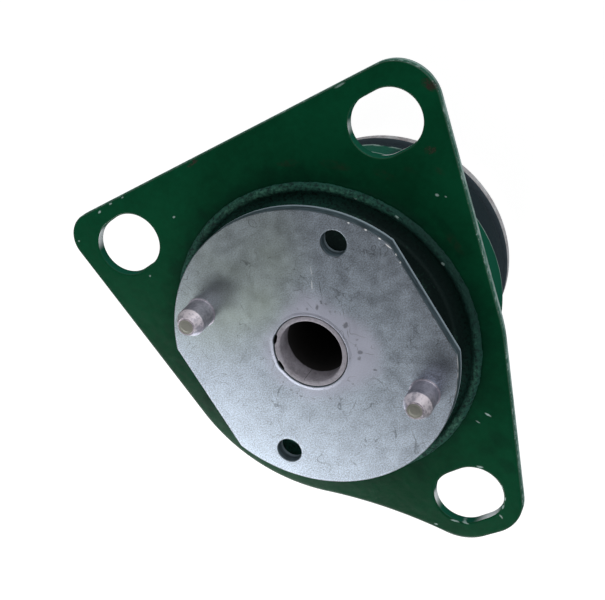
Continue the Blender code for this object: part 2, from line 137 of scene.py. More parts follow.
PLATE_PITS = ((7.1, 13.9, 0.7, 0.6, 0, 0.6), (3.9, 14.9, 0.6, 0.4, 20, 0.4),
              (10.6, 13.2, 1.3, 0.7, 60, 0.9), (12.9, 14.3, 0.9, 0.6, 70, 0.9),
              (14.2, 13.1, 0.6, 0.5, 0, 0.7), (16.6, 14.4, 0.5, 0.4, 0, 0.5),
              (15.7, 9.6, 0.8, 0.5, 10, 0.6), (14.2, 10.0, 0.6, 0.5, 0, 0.5),
              (17.0, 8.4, 0.9, 0.25, 68, 0.6), (16.6, 4.0, 1.5, 1.2, 40, 0.9),
              (17.8, -2.0, 0.7, 0.5, 0, 0.5), (16.2, -3.4, 0.8, 0.5, 40, 0.5),
              (16.4, -6.2, 1.2, 0.9, 0, 0.8), (15.0, -8.0, 1.0, 0.7, 30, 0.7),
              (7.2, -14.0, 0.8, 0.4, -20, 0.5), (8.2, -15.6, 0.6, 0.5, 0, 0.4),
              (0.8, -17.7, 0.6, 0.4, 0, 0.4), (-2.3, -17.8, 0.6, 0.5, 0, 0.6),
              (-8.1, -15.9, 0.7, 0.5, 0, 0.5), (-12.0, -13.3, 0.8, 0.5, -40, 0.7),
              (-12.9, -11.9, 0.6, 0.5, 0, 0.8), (-14.0, -10.2, 0.7, 0.6, 0, 0.5),
              (-15.4, -6.6, 0.6, 0.5, 0, 0.7), (-3.0, 16.6, 0.6, 0.4, 0, 0.4),
              (-13.8, 5.0, 0.5, 0.4, 0, 0.4))
PLATE_NICKS = ((13.1, 20.7, 2.2, 0.22, 62, 0.55), (15.4, 25.0, 2.4, 0.18, 72, 0.45),
               (35.5, 34.4, 0.50, 0.30, -46, 1.0), (39.5, 30.2, 0.60, 0.30, -53, 1.0),
               (42.3, 25.9, 0.70, 0.34, -59, 1.0), (43.7, 22.6, 1.7, 0.24, -64, 1.0),
               (44.6, 19.1, 0.6, 0.25, -70, 0.7), (44.5, 16.4, 0.5, 0.30, -85, 0.6),
               (45.4, -20.6, 3.6, 0.18, 66, 0.4), (43.3, -24.7, 1.8, 0.18, 60, 0.4),
               (40.2, -29.4, 2.6, 0.16, 54, 0.3))
# Overspray through a slot and a plain hole, in a green lightened against the shade there
SLOT_SPRAY = ((21.5, 41.5, 12.0, 8.0, -31, 1.0),)
HOLE_SPRAY = ((-33.5, -31.0, 6.0, 6.0, 0, 0.9),)
GREEN_CAST = ((-12.0, 34.0, 44.0, 30.0, 30, 0.9),)
BORE_SEAM = ((-7.4, -8.1, 0.9, 0.12, 48, 0.8),)
TORN_WIDE, TORN_FINE = 0.0016, 0.0006    # reach of the noise that tears the marks' rims
SLOT_SPRAY_LOW = 0.0185                  # height that the spray through a slot came down to
CRUMBLED_SIDE = math.radians(5.0)        # azimuth of the lip's most crumbled stretch
PLATE_SHADOW_RADIUS = 0.0475                   # painted shadow: rubber under the plate is drawn black within this radius
PLATE_SHADOW_RIGHT = 0.0045                    # how much further that reaches on the right
HALO_CENTRE = (0.0036, 0.0, 0.0)         # of the dull ring round the tube
BORE_LIT_TO = 0.0070                     # depth down the bore below which it is drawn dark
NO_NOSE = 1.0                            # a height above every piece, for one with no taper

# Wear of the slots' edges beside the flange's own, and how far a wall's normal may rise
SLOT_WEAR = 0.74
WALL_RISE = 0.6
# The cup's flats beyond its shoulder and fillet, its rim's round, the share of its height up to
# where its worn band ends, and the reach of that wear
CUP_MARGIN = 0.0015
CUP_RIM_ROUND = 0.0008
CUP_BAND = 0.04
CUP_WEAR_REACH = 0.0010
# The corners of the flash on the rear disc
FLASH_CUT = 0.0006
# How far wear comes in from the front plate's edges, and the round of their rear corners
PLATE_WEAR_REACH = 0.0015
PLATE_REAR_ROUND = 0.0001

# Upset collar round the tube: width, rise, and the azimuth, half span and depth of its two gaps
COLLAR_WIDTH = 0.0008
COLLAR_RISE = 0.00008
COLLAR_GAPS = (138.5, 182.5)
COLLAR_GAP_SPAN = 8.5
COLLAR_GAP_DEPTH = 0.0003
TUBE_DENT_DEPTH = 0.0006
SMOOTH = {"interpolation_type": "SMOOTHSTEP"}

# Fineness of the surfaces
WELD = 1e-6
TURN_STEPS = 256
TUBE_STEPS = 360
RUBBER_STEPS = 512
HOLE_STEPS = 96


def length(name, description, default):
    """A size that a user may change, shown with its unit."""
    return FloatProperty(name=name, description=description, default=default,
                         precision=5, unit="LENGTH", subtype="DISTANCE")


def angle(name, description, degrees):
    """An angle that a user may change."""
    return FloatProperty(name=name, description=description, default=math.radians(degrees),
                         unit="ROTATION", subtype="ANGLE")


def colour(name, description, code):
    """A colour that a user may change, from its sRGB hex code."""
    return FloatVectorProperty(name=name, description=description, default=linear(code),
                               size=3, min=0.0, max=1.0, subtype="COLOR")


def linear(code):
    """Linear red, green and blue of an sRGB hex code such as 1a2b3c."""
    parts = [int(code[i:i + 2], 16) / 255 for i in (0, 2, 4)]
    return tuple(p / 12.92 if p <= 0.04045 else ((p + 0.055) / 1.055) ** 2.4 for p in parts)


class FlangeSizes(bpy.types.PropertyGroup):
    """Sizes of the pressed flange and its cup."""
    thickness: length("Thickness", "Sheet that the flange is pressed from", 0.0035)
    hub: length("Hub radius", "Flange round the cup's mouth", 0.0614)
    hub_right: length("Hub's centre, right", "Of its arcs, from the mount axis", -0.0004)
    hub_up: length("Hub's centre, up", "Towards the straight edge", -0.0025)
    edge: length("Edge overhang", "Straight edge beyond the hub", 0.0115)
    right: length("Right overhang", "Right corner's side beyond the hub", 0.0150)
    right_round: length("Right corner", "Radius of the right corner", 0.0141)
    left: length("Left overhang", "Left corner's side beyond the hub", 0.0103)
    left_round: length("Left corner", "Radius of the left corner", 0.0097)
    foot: length("Foot overhang", "Foot's edge beyond the hub", 0.0277)
    foot_left: length("Foot's left side", "Its centre, right of the mount axis", 0.0156)
    foot_left_round: length("Foot's left corner", "Its radius", 0.0168)
    foot_right: length("Foot's right side", "Its centre, right of the mount axis", 0.0218)
    foot_right_round: length("Foot's right corner", "Its radius", 0.0146)
    hollow: length("Hollow side", "Radius of the hollow side by the foot", 0.1560)
    slot_round: length("Slot radius", "Half the width of each slot", 0.0102)
    slot_travel: length("Slot travel", "How much longer than wide each slot is", 0.0046)
    cup_mouth: length("Cup mouth", "Outer radius of the cup under the flange", 0.0542)
    cup_draft: length("Cup draft", "How much narrower the cup's rim is", 0.0027)
    cup_wall: length("Cup wall", "Wall of the drawn cup", 0.0030)
    shoulder: length("Shoulder", "Radius where the flange turns into the cup", 0.0030)
    fillet: length("Outer fillet", "Radius behind the flange, round the cup", 0.0040)
    edge_round: length("Edge round", "Roll-over of the pressed edges", 0.0006)
    wear_reach: length("Wear reach", "How far wear comes in from an edge", 0.0024)


class PlateSizes(bpy.types.PropertyGroup):
    """Sizes of the front plate, the tube, the pins and the rear disc."""
    radius: length("Radius", "Front plate", 0.0500)
    flat_depth: length("Flat depth", "Rim to each flat", 0.0045)
    turn: angle("Turn", "Turn of the plate on the tube", 3.0)
    dowel_hole: length("Dowel hole", "Radius of each plain hole", 0.00435)
    dowel_pitch: length("Dowel pitch", "Mount axis to each plain hole", 0.0409)
    dowel_angle: angle("Dowel angle", "First plain hole on the plate", 45.0)
    edge_round: length("Edge round", "Roll-over of the blanked edge", 0.0003)
    seat_gap: length("Seat gap", "Air round the tube and the tenons", 0.0003)
    bore: length("Bore", "Radius of the tube's bore", 0.0110)
    pin_tip: length("Pin tip", "Radius of each pin's tip", 0.0030)
    pin_taper: length("Pin taper", "Height of the taper", 0.0036)
    pin_groove: length("Pin groove", "Width of the groove round the tip's button", 0.0004)
    pin_ring: length("Pin ring", "Staked ring at the foot, beyond the pin", 0.0004)
    pin_shoulder: length("Pin shoulder", "Pin thicker than its tenon by", 0.0009)
    tube_seam: length("Tube seam", "Air round the tube in the front plate", 0.00016)
    disc_round: length("Disc edge", "Round of the rear disc's edges", 0.0008)


class RubberSizes(bpy.types.PropertyGroup):
    """Sizes of the moulded rubber."""
    seat: length("Bond line", "Rubber to the metal that it is bonded to", 0.0003)
    lip: length("Lip radius", "Foot of the lip that lies on the flange", 0.0546)
    lip_round: length("Lip round", "Radius of the lip's section", 0.0016)
    groove_round: length("Groove round", "Radius of the groove's section", 0.0024)
    ridge_round: length("Ridge round", "Radius of the inner ridge", 0.0012)
    ridge_drop: length("Ridge drop", "Ridge centre below the lip's", 0.0003)
    neck: length("Neck radius", "Rubber under the front plate", 0.0355)
    rear_body: length("Rear body", "Rubber behind the cup's rim", 0.0463)
    rear_step: length("Rear step", "Step from the cup's rim to the rear body", 0.0016)
    rear_bulge: length("Rear bulge", "Barrel of the rear body", 0.0006)
    rear_foot: length("Rear foot", "Rubber's edge on the rear disc", 0.0440)
    wrap: length("Wrap", "Rubber flash round the rear disc's edge", 0.0002)
    wrap_depth: length("Wrap depth", "How far the flash comes down the edge", 0.0009)
    foot_height: length("Foot height", "Height of the foot's flare", 0.0045)


class PaintLooks(bpy.types.PropertyGroup):
    """Colours of the paint, the metal and the rubber."""
    green: colour("Green", "Enamel where it lies thick", "084a2f")
    green_dark: colour("Dark green", "Enamel in its darker patches", "063f27")
    # Painted light: a paler green that lifts the flange's walls against their shade
    green_shade_lifted: colour("Dry green", "Paler enamel that fell dry on the walls", "1a5a46")
    # Tone that the flange darkens to towards the lip, and of the dark rubs
    grime: colour("Grime", "Dirt in the corner beside the lip", "06221a")
    primer: colour("Primer", "Reddish brown rubbed through the enamel", "342c26")
    scuff: colour("Scuffed paint", "Chalky paint on the pressed edges", "a6c0bb")
    steel: colour("Bare steel", "Where the paint has chipped off", "c2c6c4")
    # Painted highlight: near white standing in for the shine on the slots' walls
    painted_highlight: colour("Glint", "Where bolts rubbed the slots' walls", "f2f8fc")
    zinc: colour("Zinc", "Plated steel", "cfdceb")
    zinc_dark: colour("Dull zinc", "Greyer grains of the plating", "98a0aa")
    zinc_green: colour("Passivated zinc", "Greenish cast of the chromate film", "b9c7b8")
    zinc_halo: colour("Heated zinc", "Dulled ring round the tube", "bfc1d2")
    zinc_wall: colour("Sheared zinc", "Sheared wall of the front plate", "56666f")
    zinc_shade: colour("Streaks", "Darker streaks on that wall", "2b353b")
    zinc_burr: colour("Burr", "Along the wall's rear edge", "9fb0bb")
    pin: colour("Pin", "Plated side of the locating pins", "c6c1cc")
    pin_dark: colour("Dull pin", "Its duller grains", "8f8c99")
    # Painted highlight: the pins' taper, pale and matt in place of its shine
    nose: colour("Nose", "Rubbed taper of the locating pins", "e0d8e0")
    button: colour("Button", "Flat tip of the locating pins", "8c8c84")
    tube: colour("Tube", "Swaged end of the centre tube", "a9a6b0")
    tube_dark: colour("Dull tube", "Its duller grains", "86828a")
    disc: colour("Disc", "Rim of the rear disc", "d9dde0")
    disc_dark: colour("Dull disc", "Its duller grains", "a59da0")
    # Also the tone that the bore darkens to below BORE_LIT_TO
    scale: colour("Scale", "Dark scale in the bore, pits and lines", "171515")
    rubber: colour("Rubber", "Bare rubber behind the flange", "26353c")
    # Black of the pores, and of the painted shadow under the plate
    pore_and_shadow_black: colour("Black rubber", "In its pores and where no spray reached", "122120")
    # Painted light: paler flash that offsets the shade under the flange
    flash_painted_light: colour("Dusty rubber", "Flash on the rear disc", "3b474e")
    rubber_green: colour("Sprayed rubber", "Under the thicker overspray", "235046")
    overspray: colour("Overspray", "Green paint on the rubber", "305e4e")
    # Partly real overspray, partly painted light: its green is lifted against the shade where it
    # lies
    lifted_spray: colour("Spray", "Paint that came through the slot and a plain hole", "1b5e4c")
    fleck: colour("Flecks", "Paint that stands on the lip's crest", "41705f")


class StudioLooks(bpy.types.PropertyGroup):
    """The camera, at the photograph's angle, and the studio round the mount."""
    camera_place: FloatVectorProperty(
        name="Camera place", description="Where the camera stands", size=3,
        default=(0.20826, 0.10930, 0.42670), unit="LENGTH", subtype="TRANSLATION")
    camera_turn: FloatVectorProperty(
        name="Camera turn", description="XYZ Euler angles of the camera", size=3,
        default=tuple(math.radians(a) for a in (-26.1659, 21.1312, -31.3148)),
        unit="ROTATION", subtype="EULER")
    lens: FloatProperty(name="Lens", description="Focal length on a 36 mm wide sensor, in mm",
                        default=73.88)
    floor: colour("Floor", "Pale studio floor", "a2a2a2")
    floor_seen: colour("Floor seen", "Share of the floor's shade that the camera sees", "a0a0a0")


class MountSettings(bpy.types.PropertyGroup):
    """Everything that a user may change."""
    flange: PointerProperty(type=FlangeSizes)
    plate: PointerProperty(type=PlateSizes)
    rubber: PointerProperty(type=RubberSizes)
    paint: PointerProperty(type=PaintLooks)
    studio: PointerProperty(type=StudioLooks)


def polar(radius, turn, centre=(0.0, 0.0)):
    """Point at a radius and an angle from a centre."""
    return np.array([centre[0] + radius * math.cos(turn), centre[1] + radius * math.sin(turn)])


def arc(centre, radius, start, end, steps, hollow=False):
    """Points of an arc and the normals that leave the material: the centre plus the radius
    times the cosine and sine of an angle that runs evenly from start to end."""
    turn = np.linspace(start, end, steps + 1)
    out = np.column_stack([np.cos(turn), np.sin(turn)])
    return np.asarray(centre) + radius * out, -out if hollow else out


def joined(*pieces):
    """One outline from arcs in order; where two arcs meet in a point, it is kept once."""
    points = np.vstack([piece[0] for piece in pieces])
    normals = np.vstack([piece[1] for piece in pieces])
    step = np.linalg.norm(points - np.roll(points, 1, axis=0), axis=1)
    return points[step > WELD], normals[step > WELD]


def tangent_heading(centre_a, radius_a, centre_b, radius_b):
    """Heading of the line that touches circle a, then circle b, with both on its left: the
    heading between the centres, plus the arc sine of the radii's difference over the gap."""
    gap = np.subtract(centre_b, centre_a)
    return math.atan2(gap[1], gap[0]) + math.asin((radius_a - radius_b) / np.hypot(*gap))


def blend_centre(centre_a, radius_a, centre_b, radius_b, blend):
    """Centre of the circle that touches circles a and b from outside, right of the way a to b:
    it lies both radii plus its own away from them, by the rule of cosines."""
    gap = np.subtract(centre_b, centre_a)
    reach = np.hypot(*gap)
    along = (reach**2 + (radius_a + blend) ** 2 - (radius_b + blend) ** 2) / (2 * reach)
    aside = math.sqrt((radius_a + blend) ** 2 - along**2)
    unit = gap / reach
    return np.asarray(centre_a) + along * unit + aside * np.array([unit[1], -unit[0]])


def bearing(centre, point):
    """Angle of a point seen from a centre, from 0 to a full turn."""
    return math.atan2(point[1] - centre[1], point[0] - centre[0]) % (2 * math.pi)


def flange_corners(sizes):
    """Centres of the flange's right and left corners, and of the foot's left and right ones."""
    edge, tip = sizes.hub + sizes.edge, -(sizes.hub + sizes.foot)
    right = (sizes.hub + sizes.right - sizes.right_round, edge - sizes.right_round)
    left = (sizes.left_round - sizes.left - sizes.hub, edge - sizes.left_round)
    return (right, left, (sizes.foot_left, tip + sizes.foot_left_round),
            (sizes.foot_right, tip + sizes.foot_right_round))


def flange_outline(sizes):
    """The flange's edge, anticlockwise: the straight edge's two corners, the hub and the foot's
    two corners, joined by straight tangents, and by a hollow arc from the hub to the foot."""
    quarter, full = math.pi / 2, 2 * math.pi
    hub = (sizes.hub_right, sizes.hub_up)
    right, left, foot_left, foot_right = flange_corners(sizes)
    left_side = tangent_heading(left, sizes.left_round, hub, sizes.hub) % full
    lower_right = tangent_heading(foot_right, sizes.foot_right_round, hub, sizes.hub)
    upper_right = tangent_heading(hub, sizes.hub, right, sizes.right_round)
    blend = blend_centre(hub, sizes.hub, foot_left, sizes.foot_left_round, sizes.hollow)
    hub_end, foot_start = bearing(hub, blend), bearing(foot_left, blend)
    return joined(
        arc(right, sizes.right_round, upper_right - quarter, quarter, 40),
        arc(left, sizes.left_round, quarter, left_side - quarter, 40),
        arc(hub, sizes.hub, left_side - quarter, hub_end, 40),
        arc(blend, sizes.hollow, hub_end - math.pi, foot_start - math.pi, 24, hollow=True),
        arc(foot_left, sizes.foot_left_round, foot_start, 3 * quarter, 40),
        arc(foot_right, sizes.foot_right_round, -quarter, lower_right - quarter, 40),
        arc(hub, sizes.hub, lower_right - quarter, upper_right - quarter, 40))


def slot_outline(sizes, centre, turn):
    """A slot with round ends: two half circles, half the travel either side of its centre."""
    quarter = math.pi / 2
    right = polar(sizes.slot_travel / 2, turn, centre)
    left = polar(-sizes.slot_travel / 2, turn, centre)
    return joined(arc(right, sizes.slot_round, turn - quarter, turn + quarter, 48, hollow=True),
                  arc(left, sizes.slot_round, turn + quarter, turn + 3 * quarter, 48, hollow=True))


def hole_outline(radius, centre=(0.0, 0.0), steps=HOLE_STEPS):
    """A round hole."""
    points, normals = arc(centre, radius, 0.0, 2 * math.pi, steps, hollow=True)
    return points[:-1], normals[:-1]


def rounded(corners, steps=6, closed=True):
    """A section with rounded corners, from its corners' radius, height and cut: each corner
    gives way to the quadratic curve that starts and ends its cut away from it and bends
    towards it."""
    corners = np.asarray(corners, float)
    points, cuts = corners[:, :2], corners[:, 2:]
    before, after = np.roll(points, 1, axis=0) - points, np.roll(points, -1, axis=0) - points
    start = points + cuts * before / np.linalg.norm(before, axis=1, keepdims=True)
    end = points + cuts * after / np.linalg.norm(after, axis=1, keepdims=True)
    if not closed:
        start[0] = end[0] = points[0]
        start[-1] = end[-1] = points[-1]
    t = np.linspace(0.0, 1.0, steps + 1)[:, None, None]
    curve = (1 - t) ** 2 * start + 2 * t * (1 - t) * points + t**2 * end
    curve = curve.transpose(1, 0, 2).reshape(-1, 2)
    step = np.linalg.norm(np.diff(curve, axis=0), axis=1)
    return curve[np.append(True, step > WELD)]


def ripple(turn, waves, seed):
    """Uneven ring: the mean of one cosine for each number of waves, each with its own phase."""
    phase = np.random.default_rng(seed).uniform(0.0, 2 * math.pi, len(waves))
    return np.cos(np.multiply.outer(turn, waves) + phase).mean(axis=-1)


def collar_gap(turn):
    """Share of the gaps round the tube's end: half an ellipse over the span of each gap."""
    off = np.angle(np.exp(1j * (np.asarray(turn)[:, None] - np.radians(COLLAR_GAPS))))
    return np.sqrt(np.clip(1.0 - (off / math.radians(COLLAR_GAP_SPAN)) ** 2, 0, 1)).max(axis=1)


def turned(section, steps=TURN_STEPS, centre=(0.0, 0.0), uneven=None):
    """A section of (radius, height) points carried round a vertical axis: x and y are the
    radius times the cosine and sine of the turn. Uneven adds to both, for each point and turn."""
    turn = np.arange(steps) * 2 * math.pi / steps
    radius = np.repeat(section[:, :1], steps, axis=1)
    height = np.repeat(section[:, 1:], steps, axis=1)
    if uneven is not None:
        more_radius, more_height = uneven(section, turn)
        radius, height = radius + more_radius, height + more_height
    x = AXIS[0] + centre[0] + radius * np.cos(turn)
    y = AXIS[1] + centre[1] + radius * np.sin(turn)
    return np.stack([x, y, height], axis=-1)


def carried(outline, section):
    """A section of (inset, height) points carried along an outline: each outline point less the
    inset times its normal."""
    points, normals = outline
    plan = points[None] - section[:, None, :1] * normals[None] + AXIS
    height = np.broadcast_to(section[:, 1][:, None, None], plan.shape[:2] + (1,))
    return np.concatenate([plan, height], axis=-1)


def edge_section(low, high, top_round, low_round, reach, steps=5):
    """Section of a blanked edge from its top flat to its underside: a flat as deep as the
    reach, a quarter round, the wall, a smaller quarter round and the flat below."""
    turn = np.linspace(0.0, math.pi / 2, steps + 1)
    flat = np.linspace(reach, top_round, 4)[:-1]
    top = np.column_stack([top_round * (1 - np.sin(turn)), high - top_round * (1 - np.cos(turn))])
    under = np.column_stack([low_round * (1 - np.cos(turn)), low + low_round * (1 - np.sin(turn))])
    wall = np.column_stack([np.zeros(2), np.linspace(high - top_round, low + low_round, 4)[1:-1]])
    return np.vstack([np.column_stack([flat, np.full(3, high)]), top, wall, under,
                      np.column_stack([flat[::-1], np.full(3, low)])])


def wear_of(section, reach):
    """How worn each point of an edge's section is: 1 on the edge, down to 0 at the reach."""
    return np.clip(1.0 - section[:, 0] / reach, 0.0, 1.0)


def body(name, grids, wear=(), flats=(), rings=False, share_name="edge_wear"):
    """A closed body from grids of points, each closed along its columns. Rings closes each
    grid along its rows too. The open loops that lie at a height in flats are filled there.
    Wear holds a share for each point of each section, kept as the named attribute."""
    vertices, faces, worn, first = [], [], [], 0
    for index, grid in enumerate(grids):
        rows, columns = grid.shape[:2]
        row = np.arange(rows if rings else rows - 1)[:, None]
        column = np.arange(columns)[None, :]
        below, beside = (row + 1) % rows, (column + 1) % columns
        corners = [row * columns + column, row * columns + beside,
                   below * columns + beside, below * columns + column]
        faces.append(first + np.stack(corners, axis=-1).reshape(-1, 4))
        vertices.append(grid.reshape(-1, 3))
        share = wear[index] if index < len(wear) else np.zeros(rows)
        worn.append(np.broadcast_to(np.reshape(share, (rows, -1)), (rows, columns)).ravel())
        first += rows * columns
    mesh = bpy.data.meshes.new(name)
    mesh.from_pydata(np.vstack(vertices).tolist(), [], np.vstack(faces).tolist())
    layer = mesh.attributes.new(share_name, "FLOAT", "POINT")
    layer.data.foreach_set("value", np.concatenate(worn).astype(np.float32))

    shape = bmesh.new()
    shape.from_mesh(mesh)
    bmesh.ops.remove_doubles(shape, verts=shape.verts, dist=WELD)
    for height in flats:
        loops = [edge for edge in shape.edges
                 if edge.is_boundary and all(abs(v.co.z - height) < WELD for v in edge.verts)]
        bmesh.ops.triangle_fill(shape, edges=loops, use_beauty=True)
    bmesh.ops.recalc_face_normals(shape, faces=shape.faces)
    shape.to_mesh(mesh)
    shape.free()
    piece = bpy.data.objects.new(name, mesh)
    bpy.context.scene.collection.objects.link(piece)
    mesh.shade_smooth()
    mesh.set_sharp_from_angle(angle=math.radians(50.0))
    weighted = piece.modifiers.new("flat_faces_lead", "WEIGHTED_NORMAL")
    weighted.keep_sharp = True
    weighted.weight = 100
    return piece


def dress(piece, material, carrier, slot, *nodes):
    """Paint a piece and fix it to the body that carries it, in place of its nodes."""
    piece.data.materials.append(material)
    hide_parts(*nodes)
    if carrier:
        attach(piece, carrier)


def out(made, name=None):
    """The output that a node has in use: its first, or the one with this name."""
    return next(socket for socket in made.outputs if socket.enabled and name in (None, socket.name))


def plug(tree, made, inputs):
    """Set or link a node's inputs, given by name, identifier or number. A colour has three
    parts, and is set with full alpha."""
    sockets = {socket.identifier: socket for socket in made.inputs}
    for key, value in inputs.items():
        socket = sockets[key] if key in sockets else made.inputs[key]
        if isinstance(value, bpy.types.Node):
            value = out(value)
        if isinstance(value, bpy.types.NodeSocket):
            tree.links.new(value, socket)
        elif socket.type == "RGBA":
            socket.default_value = (*value, 1.0)
        else:
            socket.default_value = value


def add(tree, kind, inputs=None, **settings):
    """Add a node with its settings and its inputs."""
    made = tree.nodes.new(kind)
    for key, value in settings.items():
        setattr(made, key, value)
    plug(tree, made, inputs or {})
    return made


def new_material(name):
    """An empty node material and its tree, shader and object coordinates."""
    material = bpy.data.materials.new(name)
    material.use_nodes = True
    tree = material.node_tree
    shader = tree.nodes["Principled BSDF"]
    place = add(tree, "ShaderNodeTexCoord").outputs["Object"]
    return material, tree, shader, place


def plan_place(tree, place):
    """Place in plan from the mount axis, and how far from it: the object coordinates without
    their height, less the axis, and the length of what is left."""
    flat = add(tree, "ShaderNodeMapping", {"Vector": place, "Location": (-AXIS[0], -AXIS[1], 0.0),
                                           "Scale": (1.0, 1.0, 0.0)})
    away = add(tree, "ShaderNodeVectorMath", {0: flat}, operation="LENGTH")
    return flat, out(away, "Value")


def torn(tree, place, flat, reach):
    """The plan place with its marks' rims torn by up to half the reach: shifted by a noise of
    1 mm grain."""
    grain = add(tree, "ShaderNodeTexNoise", {"Vector": place, "Scale": 900.0, "Detail": 3.0})
    shift = add(tree, "ShaderNodeVectorMath", {0: out(grain, "Color"), 1: (0.5, 0.5, 0.5)},
                operation="SUBTRACT")
    scaled = add(tree, "ShaderNodeVectorMath", {0: shift, 1: (reach, reach, 0.0)},
                 operation="MULTIPLY")
    return add(tree, "ShaderNodeVectorMath", {0: flat, 1: scaled}, operation="ADD")


def marks(tree, flat, places, solid=0.4):
    """How strong a mark is at a place: the strongest of soft ellipses, each its own strength
    out to the solid share of its size and 0 on its rim."""
    total = 0.0
    for x, y, half_length, half_width, turn, strength in places:
        local = add(tree, "ShaderNodeMapping",
                    {"Vector": flat, "Location": (x / 1000, y / 1000, 0.0),
                     "Rotation": (0.0, 0.0, math.radians(turn)),
                     "Scale": (half_length / 1000, half_width / 1000, 1.0)},
                    vector_type="TEXTURE")
        away = add(tree, "ShaderNodeVectorMath", {0: local}, operation="LENGTH")
        soft = add(tree, "ShaderNodeMapRange", {"Value": out(away, "Value"), "From Min": 1.0,
                                                "From Max": solid, "To Max": strength},
                   **SMOOTH)
        total = add(tree, "ShaderNodeMath", {0: total, 1: soft}, operation="MAXIMUM")
    return total


def layered(tree, tone, *coats):
    """A tone under coats of others, from the lowest up: each coat is a share and a colour, and
    hides what lies under it by that share."""
    for share, coat in coats:
        tone = add(tree, "ShaderNodeMix", {"Factor_Float": share, "A_Color": tone,
                                           "B_Color": coat}, data_type="RGBA")
    return tone


def strongest(tree, share, *others):
    """The largest of several shares at each place."""
    for other in others:
        share = add(tree, "ShaderNodeMath", {0: share, 1: other}, operation="MAXIMUM")
    return share


def all_of(tree, share, *others):
    """The product of several shares at each place: full only where all of them are."""
    for other in others:
        share = add(tree, "ShaderNodeMath", {0: share, 1: other}, operation="MULTIPLY")
    return share


